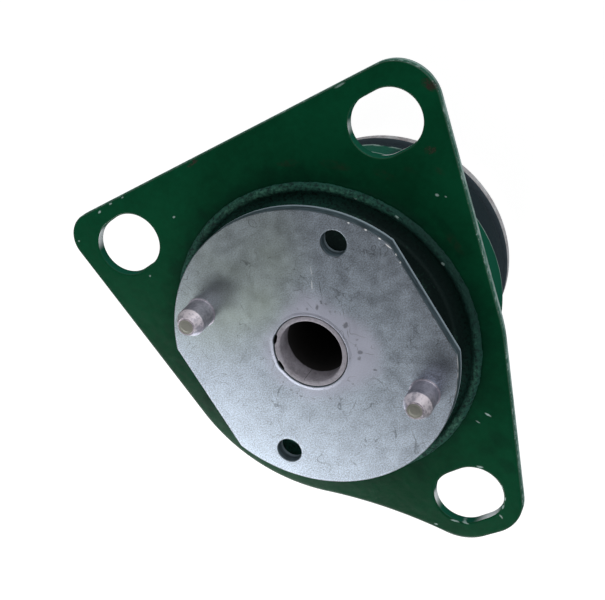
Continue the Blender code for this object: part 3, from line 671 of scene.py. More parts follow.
def green_enamel(looks, name, thin, thick, gloss, lip_darkening):
    """Gloss alkyd enamel sprayed on pressed steel, which gives deep green with a wet shine and
    a little orange peel, worn through to reddish brown and darker beside the rubber, and
    scuffed and chipped to steel along its edges, with painted highlights on the slots' walls.
    Thin and thick are the film's colours; for the walls they are a paler green with no gloss,
    a painted lift against their shade. The lip_darkening argument is the most that the
    darkening beside the lip hides of the film."""
    material, tree, shader, place = new_material(name)
    flat, away = plan_place(tree, place)
    ragged = torn(tree, place, flat, TORN_WIDE)
    worn = out(add(tree, "ShaderNodeAttribute", attribute_name="edge_wear"), "Fac")
    height = out(add(tree, "ShaderNodeSeparateXYZ", {"Vector": place}), "Z")
    # Thicker and thinner film, in clouds 30 mm across and mottles of 2 mm
    cloud = add(tree, "ShaderNodeTexNoise", {"Vector": place, "Scale": 33.0, "Detail": 3.0})
    fine = add(tree, "ShaderNodeTexNoise", {"Vector": place, "Scale": 420.0, "Detail": 4.0,
                                            "Roughness": 0.7})
    cloud = add(tree, "ShaderNodeMath", {0: fine, 1: 0.5, 2: cloud}, operation="MULTIPLY_ADD")
    heavy = add(tree, "ShaderNodeMapRange", {"Value": cloud, "From Min": 0.60, "From Max": 0.90})
    # Darker towards the lip, unevenly over 8 mm, and dark rubs
    patch = add(tree, "ShaderNodeTexNoise", {"Vector": place, "Scale": 125.0, "Detail": 5.0,
                                             "Roughness": 0.65})
    spread = add(tree, "ShaderNodeMath", {0: patch, 1: 0.022, 2: away},
                 operation="MULTIPLY_ADD")
    corner = add(tree, "ShaderNodeMapRange", {"Value": spread, "From Min": 0.0740,
                                              "From Max": 0.0625, "To Max": lip_darkening}, **SMOOTH)
    dark = strongest(tree, corner, all_of(tree, marks(tree, ragged, DARK_RUBS), patch))
    # Rubbed through to the reddish primer, in speckles of 2 mm
    rub = add(tree, "ShaderNodeTexNoise", {"Vector": place, "Scale": 480.0, "Detail": 5.0,
                                           "Roughness": 0.6})
    brown = all_of(tree, marks(tree, ragged, BROWN_RUBS), patch)
    through = add(tree, "ShaderNodeMapRange", {"Value": brown, "From Min": 0.04,
                                               "From Max": 0.50}, **SMOOTH)
    speckle = add(tree, "ShaderNodeMapRange", {"Value": rub, "From Min": 0.42,
                                               "From Max": 0.56, "To Min": 0.2})
    through = all_of(tree, through, speckle)
    # Scuffs 2 mm long on the edges
    scuffed = add(tree, "ShaderNodeMath", {0: rub, 1: 0.9, 2: worn}, operation="MULTIPLY_ADD")
    scuffed = add(tree, "ShaderNodeMath", {0: patch, 1: 0.5, 2: scuffed},
                  operation="MULTIPLY_ADD")
    scuff = add(tree, "ShaderNodeMapRange", {"Value": scuffed, "From Min": 1.66,
                                             "From Max": 1.86, "To Max": 0.7}, **SMOOTH)
    # Chalky film in patches on the edge's wall, thicker towards its rear edge
    wall = add(tree, "ShaderNodeMapRange", {"Value": worn, "From Min": 0.80, "From Max": 0.98})
    film = add(tree, "ShaderNodeMapRange", {"Value": height, "From Min": FLANGE_TOP - 0.0012,
                                            "From Max": FLANGE_TOP - 0.0023,
                                            "To Min": 0.12}, **SMOOTH)
    patchy = add(tree, "ShaderNodeMapRange", {"Value": patch, "From Min": 0.40,
                                              "From Max": 0.56, "To Min": 0.45})
    scratch = marks(tree, torn(tree, place, flat, TORN_FINE), PALE_SCRATCHES)
    pale = strongest(tree, scuff, all_of(tree, film, wall, patchy), scratch)
    # Painted highlights, near white, on the slots' walls and their rear edges
    low = add(tree, "ShaderNodeMapRange", {"Value": height, "From Min": FLANGE_TOP - 0.0024,
                                           "From Max": FLANGE_TOP - 0.0030})
    upright = add(tree, "ShaderNodeMath", {0: worn, 1: 0.70}, operation="GREATER_THAN")
    rear_edge = all_of(tree, low, marks(tree, flat, PAINTED_RIM_HIGHLIGHTS))
    painted_highlight = all_of(tree, strongest(tree, rear_edge, marks(tree, flat, PAINTED_WALL_HIGHLIGHTS, 0.1)), upright)
    # Chips of 0.7 mm on the edges, down to steel
    grit = add(tree, "ShaderNodeTexNoise", {"Vector": place, "Scale": 1400.0, "Detail": 4.0,
                                            "Roughness": 0.6})
    chip = add(tree, "ShaderNodeMapRange", {"Value": all_of(tree, grit, worn), "From Min": 0.60,
                                            "From Max": 0.66}, **SMOOTH)
    tone = layered(tree, thin, (heavy, thick), (dark, looks.grime), (through, looks.primer),
                   (pale, looks.scuff), (painted_highlight, looks.painted_highlight), (chip, looks.steel))
    dull = strongest(tree, all_of(tree, through, 0.5), pale)
    rough = add(tree, "ShaderNodeMapRange", {"Value": dull, "To Min": 0.20, "To Max": 0.50})
    # Orange peel, 4 mm from crest to crest, a little lower where the film is pale
    peel = add(tree, "ShaderNodeTexNoise", {"Vector": place, "Scale": 260.0, "Detail": 2.0})
    rise = add(tree, "ShaderNodeMath", {0: pale, 1: -0.5, 2: peel}, operation="MULTIPLY_ADD")
    bump = add(tree, "ShaderNodeBump", {"Height": rise, "Strength": 0.15, "Distance": 0.0004})
    shader.inputs["Specular IOR Level"].default_value = gloss
    plug(tree, shader, {"Base Color": tone, "Metallic": chip, "Roughness": rough,
                        "Normal": bump})
    return material


def overspray_rubber(looks, name, base, lifted_spray, shadow_radius, broken):
    """Moulded natural rubber with enamel sprayed over its front, which gives dull dark slate or
    green, broken by black pores, painted black as shadow within the shadow radius under the
    plate, with a teal film and crisp flecks on the crests that faced the paint, and a patch where
    the paint came through a hole, its green lightened against the shade there. The flash on the
    rear disc is painted paler against the flange's shade. Broken is the most that the pores show."""
    material, tree, shader, place = new_material(name)
    flat, away = plan_place(tree, place)
    sprayed = out(add(tree, "ShaderNodeAttribute", attribute_name="overspray"), "Fac")
    height = out(add(tree, "ShaderNodeSeparateXYZ", {"Vector": place}), "Z")
    side = add(tree, "ShaderNodeVectorMath", {0: flat, 1: (math.cos(CRUMBLED_SIDE),
                                                           math.sin(CRUMBLED_SIDE), 0.0)},
               operation="DOT_PRODUCT")
    side = out(side, "Value")
    # Film broken into flecks of 1 mm, in patches of 12 mm, and thinner on the crumbled side
    fleck = add(tree, "ShaderNodeTexNoise", {"Vector": place, "Scale": 900.0, "Detail": 5.0,
                                             "Roughness": 0.7})
    patch = add(tree, "ShaderNodeTexNoise", {"Vector": place, "Scale": 85.0, "Detail": 3.0})
    film = add(tree, "ShaderNodeMath", {0: fleck, 1: 1.6, 2: sprayed}, operation="MULTIPLY_ADD")
    film = add(tree, "ShaderNodeMath", {0: patch, 1: 0.9, 2: film}, operation="MULTIPLY_ADD")
    less = add(tree, "ShaderNodeMapRange", {"Value": side, "From Min": 0.040,
                                            "From Max": 0.054, "To Max": 0.25}, **SMOOTH)
    film = add(tree, "ShaderNodeMath", {0: film, 1: less}, operation="SUBTRACT")
    cover = add(tree, "ShaderNodeMapRange", {"Value": film, "From Min": 1.50,
                                             "From Max": 2.15}, **SMOOTH)
    crisp = add(tree, "ShaderNodeMapRange", {"Value": film, "From Min": 1.90,
                                             "From Max": 2.02})
    # Painted shadow: black rubber under the plate, which reaches further out on the right
    right = add(tree, "ShaderNodeMapRange", {"Value": side, "From Min": 0.020,
                                             "From Max": 0.042}, **SMOOTH)
    apart = add(tree, "ShaderNodeMath", {0: right, 1: -PLATE_SHADOW_RIGHT, 2: away},
                operation="MULTIPLY_ADD")
    closed = add(tree, "ShaderNodeMapRange", {"Value": apart, "From Min": shadow_radius,
                                              "From Max": shadow_radius - 0.0060}, **SMOOTH)
    # Black pores, more of them on the crumbled side, and the flash painted paler, a painted lift
    # against the flange's shade
    pored = add(tree, "ShaderNodeMapRange", {"Value": fleck, "From Min": 0.52, "From Max": 0.40,
                                             "To Max": broken})
    missed = add(tree, "ShaderNodeMath", {0: less, 1: 2.4}, operation="MULTIPLY")
    pored = strongest(tree, pored, missed)
    flash = add(tree, "ShaderNodeMath", {0: height, 1: DISC_TOP + 0.0010},
                operation="LESS_THAN")
    # Overspray that came through a slot or a hole, down to a wandering line, with a pale rim there
    # 1 mm wide, here and there, and fading 11 to 15 mm above it; its green is lightened against the
    # shade there, partly painted light
    ragged = torn(tree, place, flat, TORN_WIDE)
    wander = add(tree, "ShaderNodeMath", {0: patch, 1: 0.008, 2: height},
                 operation="MULTIPLY_ADD")
    wander = add(tree, "ShaderNodeMath", {0: fleck, 1: 0.002, 2: wander},
                 operation="MULTIPLY_ADD")
    above = add(tree, "ShaderNodeMapRange", {"Value": wander,
                                             "From Min": SLOT_SPRAY_LOW - 0.0003,
                                             "From Max": SLOT_SPRAY_LOW + 0.0003})
    below = add(tree, "ShaderNodeMapRange", {"Value": wander,
                                             "From Min": SLOT_SPRAY_LOW + 0.0018,
                                             "From Max": SLOT_SPRAY_LOW + 0.0006})
    faded = add(tree, "ShaderNodeMapRange", {"Value": wander,
                                             "From Min": SLOT_SPRAY_LOW + 0.0150,
                                             "From Max": SLOT_SPRAY_LOW + 0.0110}, **SMOOTH)
    kept = add(tree, "ShaderNodeMapRange", {"Value": patch, "From Min": 0.48, "From Max": 0.56})
    came = all_of(tree, above, marks(tree, ragged, lifted_spray), faded)
    chip = strongest(tree, marks(tree, ragged, LIP_CHIPS), all_of(tree, came, below, kept))
    tone = layered(tree, base, (pored, looks.pore_and_shadow_black), (flash, looks.flash_painted_light),
                   (closed, looks.pore_and_shadow_black), (cover, looks.overspray),
                   (crisp, looks.fleck), (came, looks.lifted_spray), (chip, looks.scuff))
    rough = add(tree, "ShaderNodeMapRange", {"Value": cover, "To Min": 0.72, "To Max": 0.52})
    # Grain of the mould, drawn 1 mm coarse so that it shows
    grain = add(tree, "ShaderNodeTexNoise", {"Vector": place, "Scale": 1000.0, "Detail": 4.0})
    rise = add(tree, "ShaderNodeMath", {0: fleck, 1: grain}, operation="ADD")
    bump = add(tree, "ShaderNodeBump", {"Height": rise, "Strength": 0.5, "Distance": 0.0004})
    shader.inputs["Specular IOR Level"].default_value = 0.12
    plug(tree, shader, {"Base Color": tone, "Roughness": rough, "Normal": bump})
    return material


def zinc_blank(looks):
    """Zinc electroplated on a blanked mild steel plate, which gives soft grey metal with a fine
    sparkle, a greenish cast, a dull ring round the tube, pits and lines, a matt slate wall where
    the plate was sheared, and bright nicks on its rim."""
    material, tree, shader, place = new_material("zinc_plated_blank")
    flat, away = plan_place(tree, place)
    worn = out(add(tree, "ShaderNodeAttribute", attribute_name="edge_wear"), "Fac")
    height = out(add(tree, "ShaderNodeSeparateXYZ", {"Vector": place}), "Z")
    # Grains drawn 0.5 mm coarse so that they show, blotches of 4 mm and clouds of 25 mm
    grain = add(tree, "ShaderNodeTexNoise", {"Vector": place, "Scale": 2100.0, "Detail": 2.0,
                                             "Roughness": 0.6})
    blotch = add(tree, "ShaderNodeTexNoise", {"Vector": place, "Scale": 260.0, "Detail": 4.0,
                                              "Roughness": 0.6})
    cloud = add(tree, "ShaderNodeTexNoise", {"Vector": place, "Scale": 40.0, "Detail": 3.0})
    both = add(tree, "ShaderNodeMath", {0: blotch, 1: 0.2, 2: grain}, operation="MULTIPLY_ADD")
    both = add(tree, "ShaderNodeMath", {0: both, 1: 1.15, 2: -0.69}, operation="MULTIPLY_ADD")
    mottle = add(tree, "ShaderNodeMath", {0: cloud, 1: 0.1, 2: both}, operation="MULTIPLY_ADD")
    bright = add(tree, "ShaderNodeMapRange", {"Value": mottle, "From Min": -0.18,
                                              "From Max": 0.20})
    cast = all_of(tree, marks(tree, flat, GREEN_CAST), cloud)
    # Dull ring round the tube, its rim wandering with the clouds
    ring = add(tree, "ShaderNodeVectorMath", {0: flat, 1: HALO_CENTRE}, operation="DISTANCE")
    spread = add(tree, "ShaderNodeMath", {0: cloud, 1: 0.020, 2: out(ring, "Value")},
                 operation="MULTIPLY_ADD")
    halo = add(tree, "ShaderNodeMapRange", {"Value": spread, "From Min": 0.033,
                                            "From Max": 0.025, "To Max": 0.85}, **SMOOTH)
    # Hairlines where a noise of 10 mm waves passes its middle, broken up by a second one
    bend = add(tree, "ShaderNodeTexNoise", {"Vector": place, "Scale": 95.0, "Detail": 2.0,
                                            "Distortion": 0.6})
    off = add(tree, "ShaderNodeMath", {0: bend, 1: 0.5}, operation="SUBTRACT")
    off = add(tree, "ShaderNodeMath", {0: off}, operation="ABSOLUTE")
    hair = add(tree, "ShaderNodeMapRange", {"Value": off, "From Min": 0.009,
                                            "From Max": 0.003})
    strand = add(tree, "ShaderNodeTexNoise", {"Vector": place, "Scale": 170.0, "Detail": 1.0})
    gate = add(tree, "ShaderNodeMapRange", {"Value": strand, "From Min": 0.50,
                                            "From Max": 0.60, "To Max": 0.65})
    pits = marks(tree, torn(tree, place, flat, TORN_WIDE), PLATE_PITS)
    lines = marks(tree, torn(tree, place, flat, TORN_FINE), PLATE_LINES)
    dark = all_of(tree, strongest(tree, pits, lines, all_of(tree, hair, gate)), 0.62)
    # The sheared wall, with streaks 6 mm long and 0.7 mm high, and a brighter burr at its rear
    wall = add(tree, "ShaderNodeMapRange", {"Value": worn, "From Min": 0.78, "From Max": 0.88})
    stretched = add(tree, "ShaderNodeMapping", {"Vector": place, "Scale": (1.0, 1.0, 9.0)})
    streak = add(tree, "ShaderNodeTexNoise", {"Vector": stretched, "Scale": 160.0,
                                              "Detail": 4.0, "Roughness": 0.7})
    streak = add(tree, "ShaderNodeMapRange", {"Value": streak, "From Min": 0.35,
                                              "From Max": 0.65})
    burr = add(tree, "ShaderNodeMapRange", {"Value": height, "From Min": PLATE_UNDER + 0.0015,
                                            "From Max": PLATE_UNDER + 0.0007})
    slate = layered(tree, looks.zinc_shade, (streak, looks.zinc_wall), (burr, looks.zinc_burr))
    # Dark seam round the tube, and nicks on the upper rim
    near = add(tree, "ShaderNodeMath", {0: away, 1: TUBE_RADIUS + 0.0012},
               operation="LESS_THAN")
    down = add(tree, "ShaderNodeMapRange", {"Value": height, "From Min": PLATE_TOP,
                                            "From Max": PLATE_TOP - 0.0004})
    seam = all_of(tree, near, down)
    upper = add(tree, "ShaderNodeMath", {0: height, 1: PLATE_TOP - 0.0005},
                operation="GREATER_THAN")
    nick = all_of(tree, marks(tree, flat, PLATE_NICKS), upper)
    tone = layered(tree, looks.zinc_dark, (bright, looks.zinc), (cast, looks.zinc_green),
                   (halo, looks.zinc_halo), (dark, looks.scale), (wall, slate),
                   (seam, looks.scale), (nick, WHITE))
    matt = strongest(tree, all_of(tree, halo, 0.45), nick, seam, wall)
    sheen = add(tree, "ShaderNodeMath", {0: 1.0, 1: matt}, operation="SUBTRACT")
    dull = add(tree, "ShaderNodeMath", {0: matt, 1: 0.30, 2: blotch},
               operation="MULTIPLY_ADD")
    rough = add(tree, "ShaderNodeMapRange", {"Value": dull, "From Min": 0.3, "From Max": 0.8,
                                             "To Min": 0.325, "To Max": 0.395})
    bump = add(tree, "ShaderNodeBump", {"Height": grain, "Strength": 0.2,
                                        "Distance": 0.00012})
    plug(tree, shader, {"Base Color": tone, "Metallic": sheen, "Roughness": rough,
                        "Normal": bump})
    return material


def zinc_turned(looks, name, dull, bright, sheen, nose=NO_NOSE):
    """Zinc electroplated on turned steel, which gives a soft sheen, less where the sheen share
    is low, darker down the bore below a given depth, and a pale matt taper, a painted highlight,
    from the nose's height up to the tip's duller button."""
    material, tree, shader, place = new_material(name)
    flat, away = plan_place(tree, place)
    height = out(add(tree, "ShaderNodeSeparateXYZ", {"Vector": place}), "Z")
    # Grains of 1 mm over blotches of 5 mm
    grain = add(tree, "ShaderNodeTexNoise", {"Vector": place, "Scale": 1000.0, "Detail": 4.0,
                                             "Roughness": 0.6})
    blotch = add(tree, "ShaderNodeTexNoise", {"Vector": place, "Scale": 200.0, "Detail": 3.0})
    mottle = add(tree, "ShaderNodeMath", {0: blotch, 1: grain}, operation="ADD")
    share = add(tree, "ShaderNodeMapRange", {"Value": mottle, "From Min": 0.75,
                                             "From Max": 1.25})
    # Darker down the bore below a given depth, and the seam of the welded tube in its lit mouth
    edge = add(tree, "ShaderNodeMath", {0: blotch, 1: 0.0016, 2: height},
               operation="MULTIPLY_ADD")
    deep = add(tree, "ShaderNodeMapRange", {"Value": edge,
                                            "From Min": PLATE_TOP - BORE_LIT_TO + 0.0008,
                                            "From Max": PLATE_TOP - BORE_LIT_TO}, **SMOOTH)
    inside = add(tree, "ShaderNodeMath", {0: away, 1: TUBE_RADIUS - 0.0014},
                 operation="LESS_THAN")
    dark = strongest(tree, all_of(tree, deep, inside), marks(tree, flat, BORE_SEAM))
    # Dark too on the tube's outer side, in its seam with the plate
    outer = add(tree, "ShaderNodeMath", {0: away, 1: TUBE_RADIUS - 0.0002},
                operation="GREATER_THAN")
    below = add(tree, "ShaderNodeMath", {0: height, 1: PLATE_TOP - 0.0005},
                operation="LESS_THAN")
    close = add(tree, "ShaderNodeMath", {0: away, 1: TUBE_RADIUS + 0.0002},
                operation="LESS_THAN")
    hidden = all_of(tree, outer, below, close)
    # The taper drawn pale and matt in patches, a painted highlight, and the button on its tip
    nose_highlight = add(tree, "ShaderNodeMapRange", {"Value": height, "From Min": nose,
                                              "From Max": nose + 0.0002})
    patchy = add(tree, "ShaderNodeMapRange", {"Value": mottle, "From Min": 0.88,
                                              "From Max": 1.10, "To Min": 0.25})
    patchy = all_of(tree, nose_highlight, patchy)
    button = add(tree, "ShaderNodeMath", {0: height, 1: PIN_TOP - 0.0001},
                 operation="GREATER_THAN")
    tone = layered(tree, dull, (share, bright), (dark, looks.scale), (hidden, looks.scale),
                   (patchy, looks.nose), (button, looks.button))
    dark = strongest(tree, dark, hidden)
    matt = add(tree, "ShaderNodeMath", {0: patchy, 1: 0.5, 2: dark}, operation="MULTIPLY_ADD")
    metal = add(tree, "ShaderNodeMapRange", {"Value": matt, "To Min": sheen, "To Max": 0.0})
    shine = add(tree, "ShaderNodeMapRange", {"Value": blotch, "From Min": 0.3,
                                             "From Max": 0.7, "To Min": 0.52 - 0.24 * sheen,
                                             "To Max": 0.64 - 0.24 * sheen})
    rough = add(tree, "ShaderNodeMath", {0: dark, 1: 0.5, 2: shine},
                operation="MULTIPLY_ADD")
    bump = add(tree, "ShaderNodeBump", {"Height": grain, "Strength": 0.20,
                                        "Distance": 0.00012})
    plug(tree, shader, {"Base Color": tone, "Metallic": metal, "Roughness": rough,
                        "Normal": bump})
    return material


def plan_centre(low, high):
    """Middle of a box in plan, from the mount axis."""
    return np.array([(low.x + high.x) / 2, (low.y + high.y) / 2]) - AXIS


class MOUNT_OT_flange(bpy.types.Operator):
    """Make the pressed flange with its slots and its cup"""
    bl_idname = "mount.flange"
    bl_label = "Flange"

    def execute(self, context):
        sizes = context.scene.engine_mount.flange
        under = FLANGE_TOP - sizes.thickness
        right, left, _, foot = flange_corners(sizes)
        slots = [slot_outline(sizes, np.add(corner, offset), math.radians(turn))
                 for corner, (offset, turn) in zip((right, left, foot), SLOT_PLACES)]
        reach = sizes.wear_reach
        edge = edge_section(under, FLANGE_TOP, sizes.edge_round, sizes.edge_round / 2, reach)
        grids = [carried(outline, edge) for outline in [flange_outline(sizes)] + slots]
        wear = [wear_of(edge, reach)] + [wear_of(edge, reach) * SLOT_WEAR] * len(slots)

        inner, rim = sizes.cup_mouth - sizes.cup_wall, sizes.cup_mouth - sizes.cup_draft
        section = rounded(
            [(inner + sizes.shoulder + CUP_MARGIN, FLANGE_TOP, 0.0),
             (inner, FLANGE_TOP, sizes.shoulder),
             (rim - sizes.cup_wall, CUP_RIM, CUP_RIM_ROUND), (rim, CUP_RIM, CUP_RIM_ROUND),
             (rim + sizes.cup_draft * CUP_BAND, CUP_RIM + CUP_BAND * (under - CUP_RIM), 0.0001),
             (sizes.cup_mouth, under, sizes.fillet),
             (sizes.cup_mouth + sizes.fillet + CUP_MARGIN, under, 0.0)], steps=8, closed=False)
        grids.append(turned(section))
        # Fully worn up to 1.2 times the reach above the cup's rim, and not at all above 2.2
        wear.append(np.clip(2.2 - (section[:, 1] - CUP_RIM) / CUP_WEAR_REACH, 0.0, 1.0))
        piece = body("flange_pressing", grids, wear, flats=(FLANGE_TOP, under))
        paint = context.scene.engine_mount.paint
        wet = green_enamel(paint, "sprayed_green_enamel", paint.green_dark, paint.green,
                           gloss=0.25, lip_darkening=0.55)
        # The walls, picked by their normals, take a paler green without gloss: painted light
        # against their shade
        shade_lifted = green_enamel(paint, "shade_lifted_green_enamel", paint.green_shade_lifted, paint.green_shade_lifted,
                           gloss=0.0, lip_darkening=0.0)
        dress(piece, wet, "frame_side", "green_painted_steel", "mounting_flange")
        piece.data.materials.append(shade_lifted)
        facing = np.empty(3 * len(piece.data.polygons), np.float32)
        piece.data.polygons.foreach_get("normal", facing)
        walls = np.abs(facing.reshape(-1, 3)[:, 2]) < WALL_RISE
        piece.data.polygons.foreach_set("material_index", walls.astype(np.int32))
        return {"FINISHED"}


def lip_circles(sizes):
    """Centres of the arcs of the lip, the groove and the ridge, which touch in that order."""
    lip = (sizes.lip - sizes.lip_round, FLANGE_TOP + sizes.seat)
    groove = (lip[0] - sizes.lip_round - sizes.groove_round, lip[1])
    reach = math.sqrt((sizes.groove_round + sizes.ridge_round) ** 2 - sizes.ridge_drop**2)
    return lip, groove, (groove[0] - reach, lip[1] - sizes.ridge_drop)


def front_section(sizes, flange, axis_side):
    """Rubber from under the plate to the cup's middle: a quarter of an ellipse for the flank,
    arcs for the ridge, the groove and the lip, and an arc one bond line inside the flange's
    shoulder."""
    top, quarter = PLATE_UNDER - sizes.seat, math.pi / 2
    lip, groove, ridge = lip_circles(sizes)
    meeting = math.atan2(groove[1] - ridge[1], groove[0] - ridge[0])
    ridge_top = ridge[1] + sizes.ridge_round
    turn = np.linspace(0.0, quarter, 17)
    flank = np.column_stack([ridge[0] - (ridge[0] - sizes.neck) * np.cos(turn),
                             top - (top - ridge_top) * np.sin(turn)])
    inner = flange.cup_mouth - flange.cup_wall
    rim = inner - flange.cup_draft - sizes.seat
    shoulder = (inner + flange.shoulder, FLANGE_TOP - flange.shoulder)
    return np.vstack([
        flank, arc(ridge, sizes.ridge_round, quarter, meeting, 8)[0],
        arc(groove, sizes.groove_round, meeting + math.pi, 2 * math.pi, 16)[0],
        arc(lip, sizes.lip_round, math.pi, 0.0, 18)[0],
        arc(shoulder, flange.shoulder + sizes.seat, quarter, math.pi, 8)[0],
        [(rim + flange.cup_draft / 2, CUP_MIDDLE), (axis_side, CUP_MIDDLE), (axis_side, top)]])


def rear_section(sizes, flange, axis_side):
    """Rubber from the cup's middle to the rear disc: a half sine for the barrel behind the
    cup's rim, a flared foot, and a flash round the disc's edge."""
    foot, wrap = DISC_TOP + sizes.seat, DISC_RADIUS + sizes.wrap
    rim = flange.cup_mouth - flange.cup_wall - flange.cup_draft - sizes.seat
    step, hem = CUP_RIM - sizes.rear_step, foot - sizes.wrap_depth
    share = np.linspace(0.0, 1.0, 13)
    barrel = np.column_stack([sizes.rear_body + sizes.rear_bulge * np.sin(math.pi * share),
                              step + (foot + sizes.foot_height - step) * share])
    return np.vstack([
        [(axis_side, CUP_MIDDLE), (rim + flange.cup_draft / 2, CUP_MIDDLE), (rim, CUP_RIM)],
        barrel,
        [(sizes.rear_foot, foot), (wrap - FLASH_CUT, foot - 0.0001), (wrap, foot - FLASH_CUT),
         (wrap, hem), (wrap - FLASH_CUT, hem), (axis_side, hem)]])


class MOUNT_OT_rubber(bpy.types.Operator):
    """Make the front and the rear of the rubber, which lie between the bodies"""
    bl_idname = "mount.rubber"
    bl_label = "Rubber"

    def execute(self, context):
        settings = context.scene.engine_mount
        sizes, paint = settings.rubber, settings.paint
        axis_side = TUBE_RADIUS + settings.plate.seat_gap
        lip, groove, _ = lip_circles(sizes)
        crest, lip_top = lip[1] + sizes.lip_round * 0.2, lip[1] + sizes.lip_round

        def uneven(section, turn):
            """The lip's rim wanders and crumbles: how near a point is to the lip, times the
            ripple, plus a random crumb that grows towards the crumbled side."""
            near = np.clip((section[:, :1] - groove[0]) / sizes.groove_round, 0.0, 1.0)
            near = near * (section[:, 1:] > FLANGE_TOP)
            crumb = np.random.default_rng(9).normal(0.0, 1.0, (len(section), len(turn)))
            crumb = crumb * (0.3 + 0.7 * np.clip(np.cos(turn - CRUMBLED_SIDE), 0.0, 1.0))
            return (near * (0.00018 * ripple(turn, (11, 29, 47, 71, 93), 3) + 0.00011 * crumb),
                    near * (0.00014 * ripple(turn, (9, 31, 53, 77), 5) + 0.00008 * crumb))

        for name, make_section, start, end, finish in (
                ("rubber_front", front_section, PLATE_UNDER - sizes.seat, FLANGE_TOP + sizes.seat,
                 (paint.rubber_green, HOLE_SPRAY, PLATE_SHADOW_RADIUS, 0.75)),
                ("rubber_rear", rear_section, DISC_TOP + sizes.seat, CUP_RIM,
                 (paint.rubber, SLOT_SPRAY, 0.0, 0.25))):
            section = make_section(sizes, settings.flange, axis_side)
            # Paint lies thickest on the lip's crest, and thinly on all that faces forward
            raised = np.clip((section[:, 1] - crest) / (lip_top - crest), 0, 1)
            on_lip = section[:, 0] > groove[0]
            in_front = (section[:, 0] > sizes.neck + 0.002) * (section[:, 1] > FLANGE_TOP)
            piece = body(name, [turned(section, RUBBER_STEPS, uneven=uneven)],
                         [0.35 * raised * on_lip + 0.2 * in_front], rings=True,
                         share_name="overspray")
            dress(piece, overspray_rubber(paint, "moulded_" + name, *finish), None,
                  "green_painted_rubber", "rubber_element")
            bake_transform(piece)
        return {"FINISHED"}


class MOUNT_OT_front_plate(bpy.types.Operator):
    """Make the blanked front plate with its holes"""
    bl_idname = "mount.front_plate"
    bl_label = "Front plate"

    def execute(self, context):
        settings = context.scene.engine_mount
        sizes = settings.plate
        half = math.acos(1 - sizes.flat_depth / sizes.radius)
        turn, full = sizes.turn, math.pi
        rim = joined(arc((0, 0), sizes.radius, turn + half, turn + full - half, 110),
                     arc((0, 0), sizes.radius, turn + full + half, turn + 2 * full - half, 110))
        edge = edge_section(PLATE_UNDER, PLATE_TOP, sizes.edge_round, PLATE_REAR_ROUND,
                            PLATE_WEAR_REACH)
        places = [polar(sizes.dowel_pitch, sizes.dowel_angle + turn + full * i) for i in (0, 1)]
        dowels = [carried(hole_outline(sizes.dowel_hole, place), edge) for place in places]
        tenons = []
        for low, high in PIN_BOXES.values():
            radius = (high.x - low.x) / 2 - sizes.pin_shoulder + sizes.seat_gap
            tenons.append(carried(hole_outline(radius, plan_centre(low, high)), edge))
        points, normals = hole_outline(TUBE_RADIUS + sizes.tube_seam, steps=TURN_STEPS)
        heading = np.arctan2(points[:, 1], points[:, 0])
        points = points - normals * (COLLAR_GAP_DEPTH * collar_gap(heading))[:, None]
        collar = edge.copy()
        raised = (edge[:, 0] < COLLAR_WIDTH) & (edge[:, 1] > PLATE_TOP - 0.0003)
        collar[raised, 1] += COLLAR_RISE
        grids = [carried(rim, edge), *dowels, *tenons, carried((points, normals), collar)]
        piece = body("front_plate_blank", grids, [wear_of(edge, PLATE_WEAR_REACH)] * len(grids),
                     flats=(PLATE_TOP, PLATE_UNDER))
        dress(piece, zinc_blank(settings.paint), "core", "zinc_plated_steel", "front_plate")
        return {"FINISHED"}


class MOUNT_OT_tube(bpy.types.Operator):
    """Make the centre tube"""
    bl_idname = "mount.tube"
    bl_label = "Centre tube"

    def execute(self, context):
        settings = context.scene.engine_mount
        bore = settings.plate.bore
        section = rounded([(TUBE_RADIUS, 0.0, 0.0003), (TUBE_RADIUS, PLATE_TOP - 0.0014, 0.0001),
                           (TUBE_RADIUS, PLATE_TOP, 0.0003), (bore, PLATE_TOP, 0.0006),
                           (bore, 0.0, 0.0006)])

        def dented(section, turn):
            """Two dents in the swaged end: the gap's share, down to 1.5 mm from the end."""
            upper = (section[:, :1] > TUBE_RADIUS - 0.0004) * (section[:, 1:] > PLATE_TOP - 0.0015)
            return -TUBE_DENT_DEPTH * upper * collar_gap(turn), 0.0

        piece = body("centre_tube_turned", [turned(section, TUBE_STEPS, uneven=dented)],
                     rings=True)
        paint = settings.paint
        material = zinc_turned(paint, "zinc_plated_tube", paint.tube_dark, paint.tube, sheen=0.2)
        dress(piece, material, "core", "zinc_plated_steel", "centre_tube")
        return {"FINISHED"}


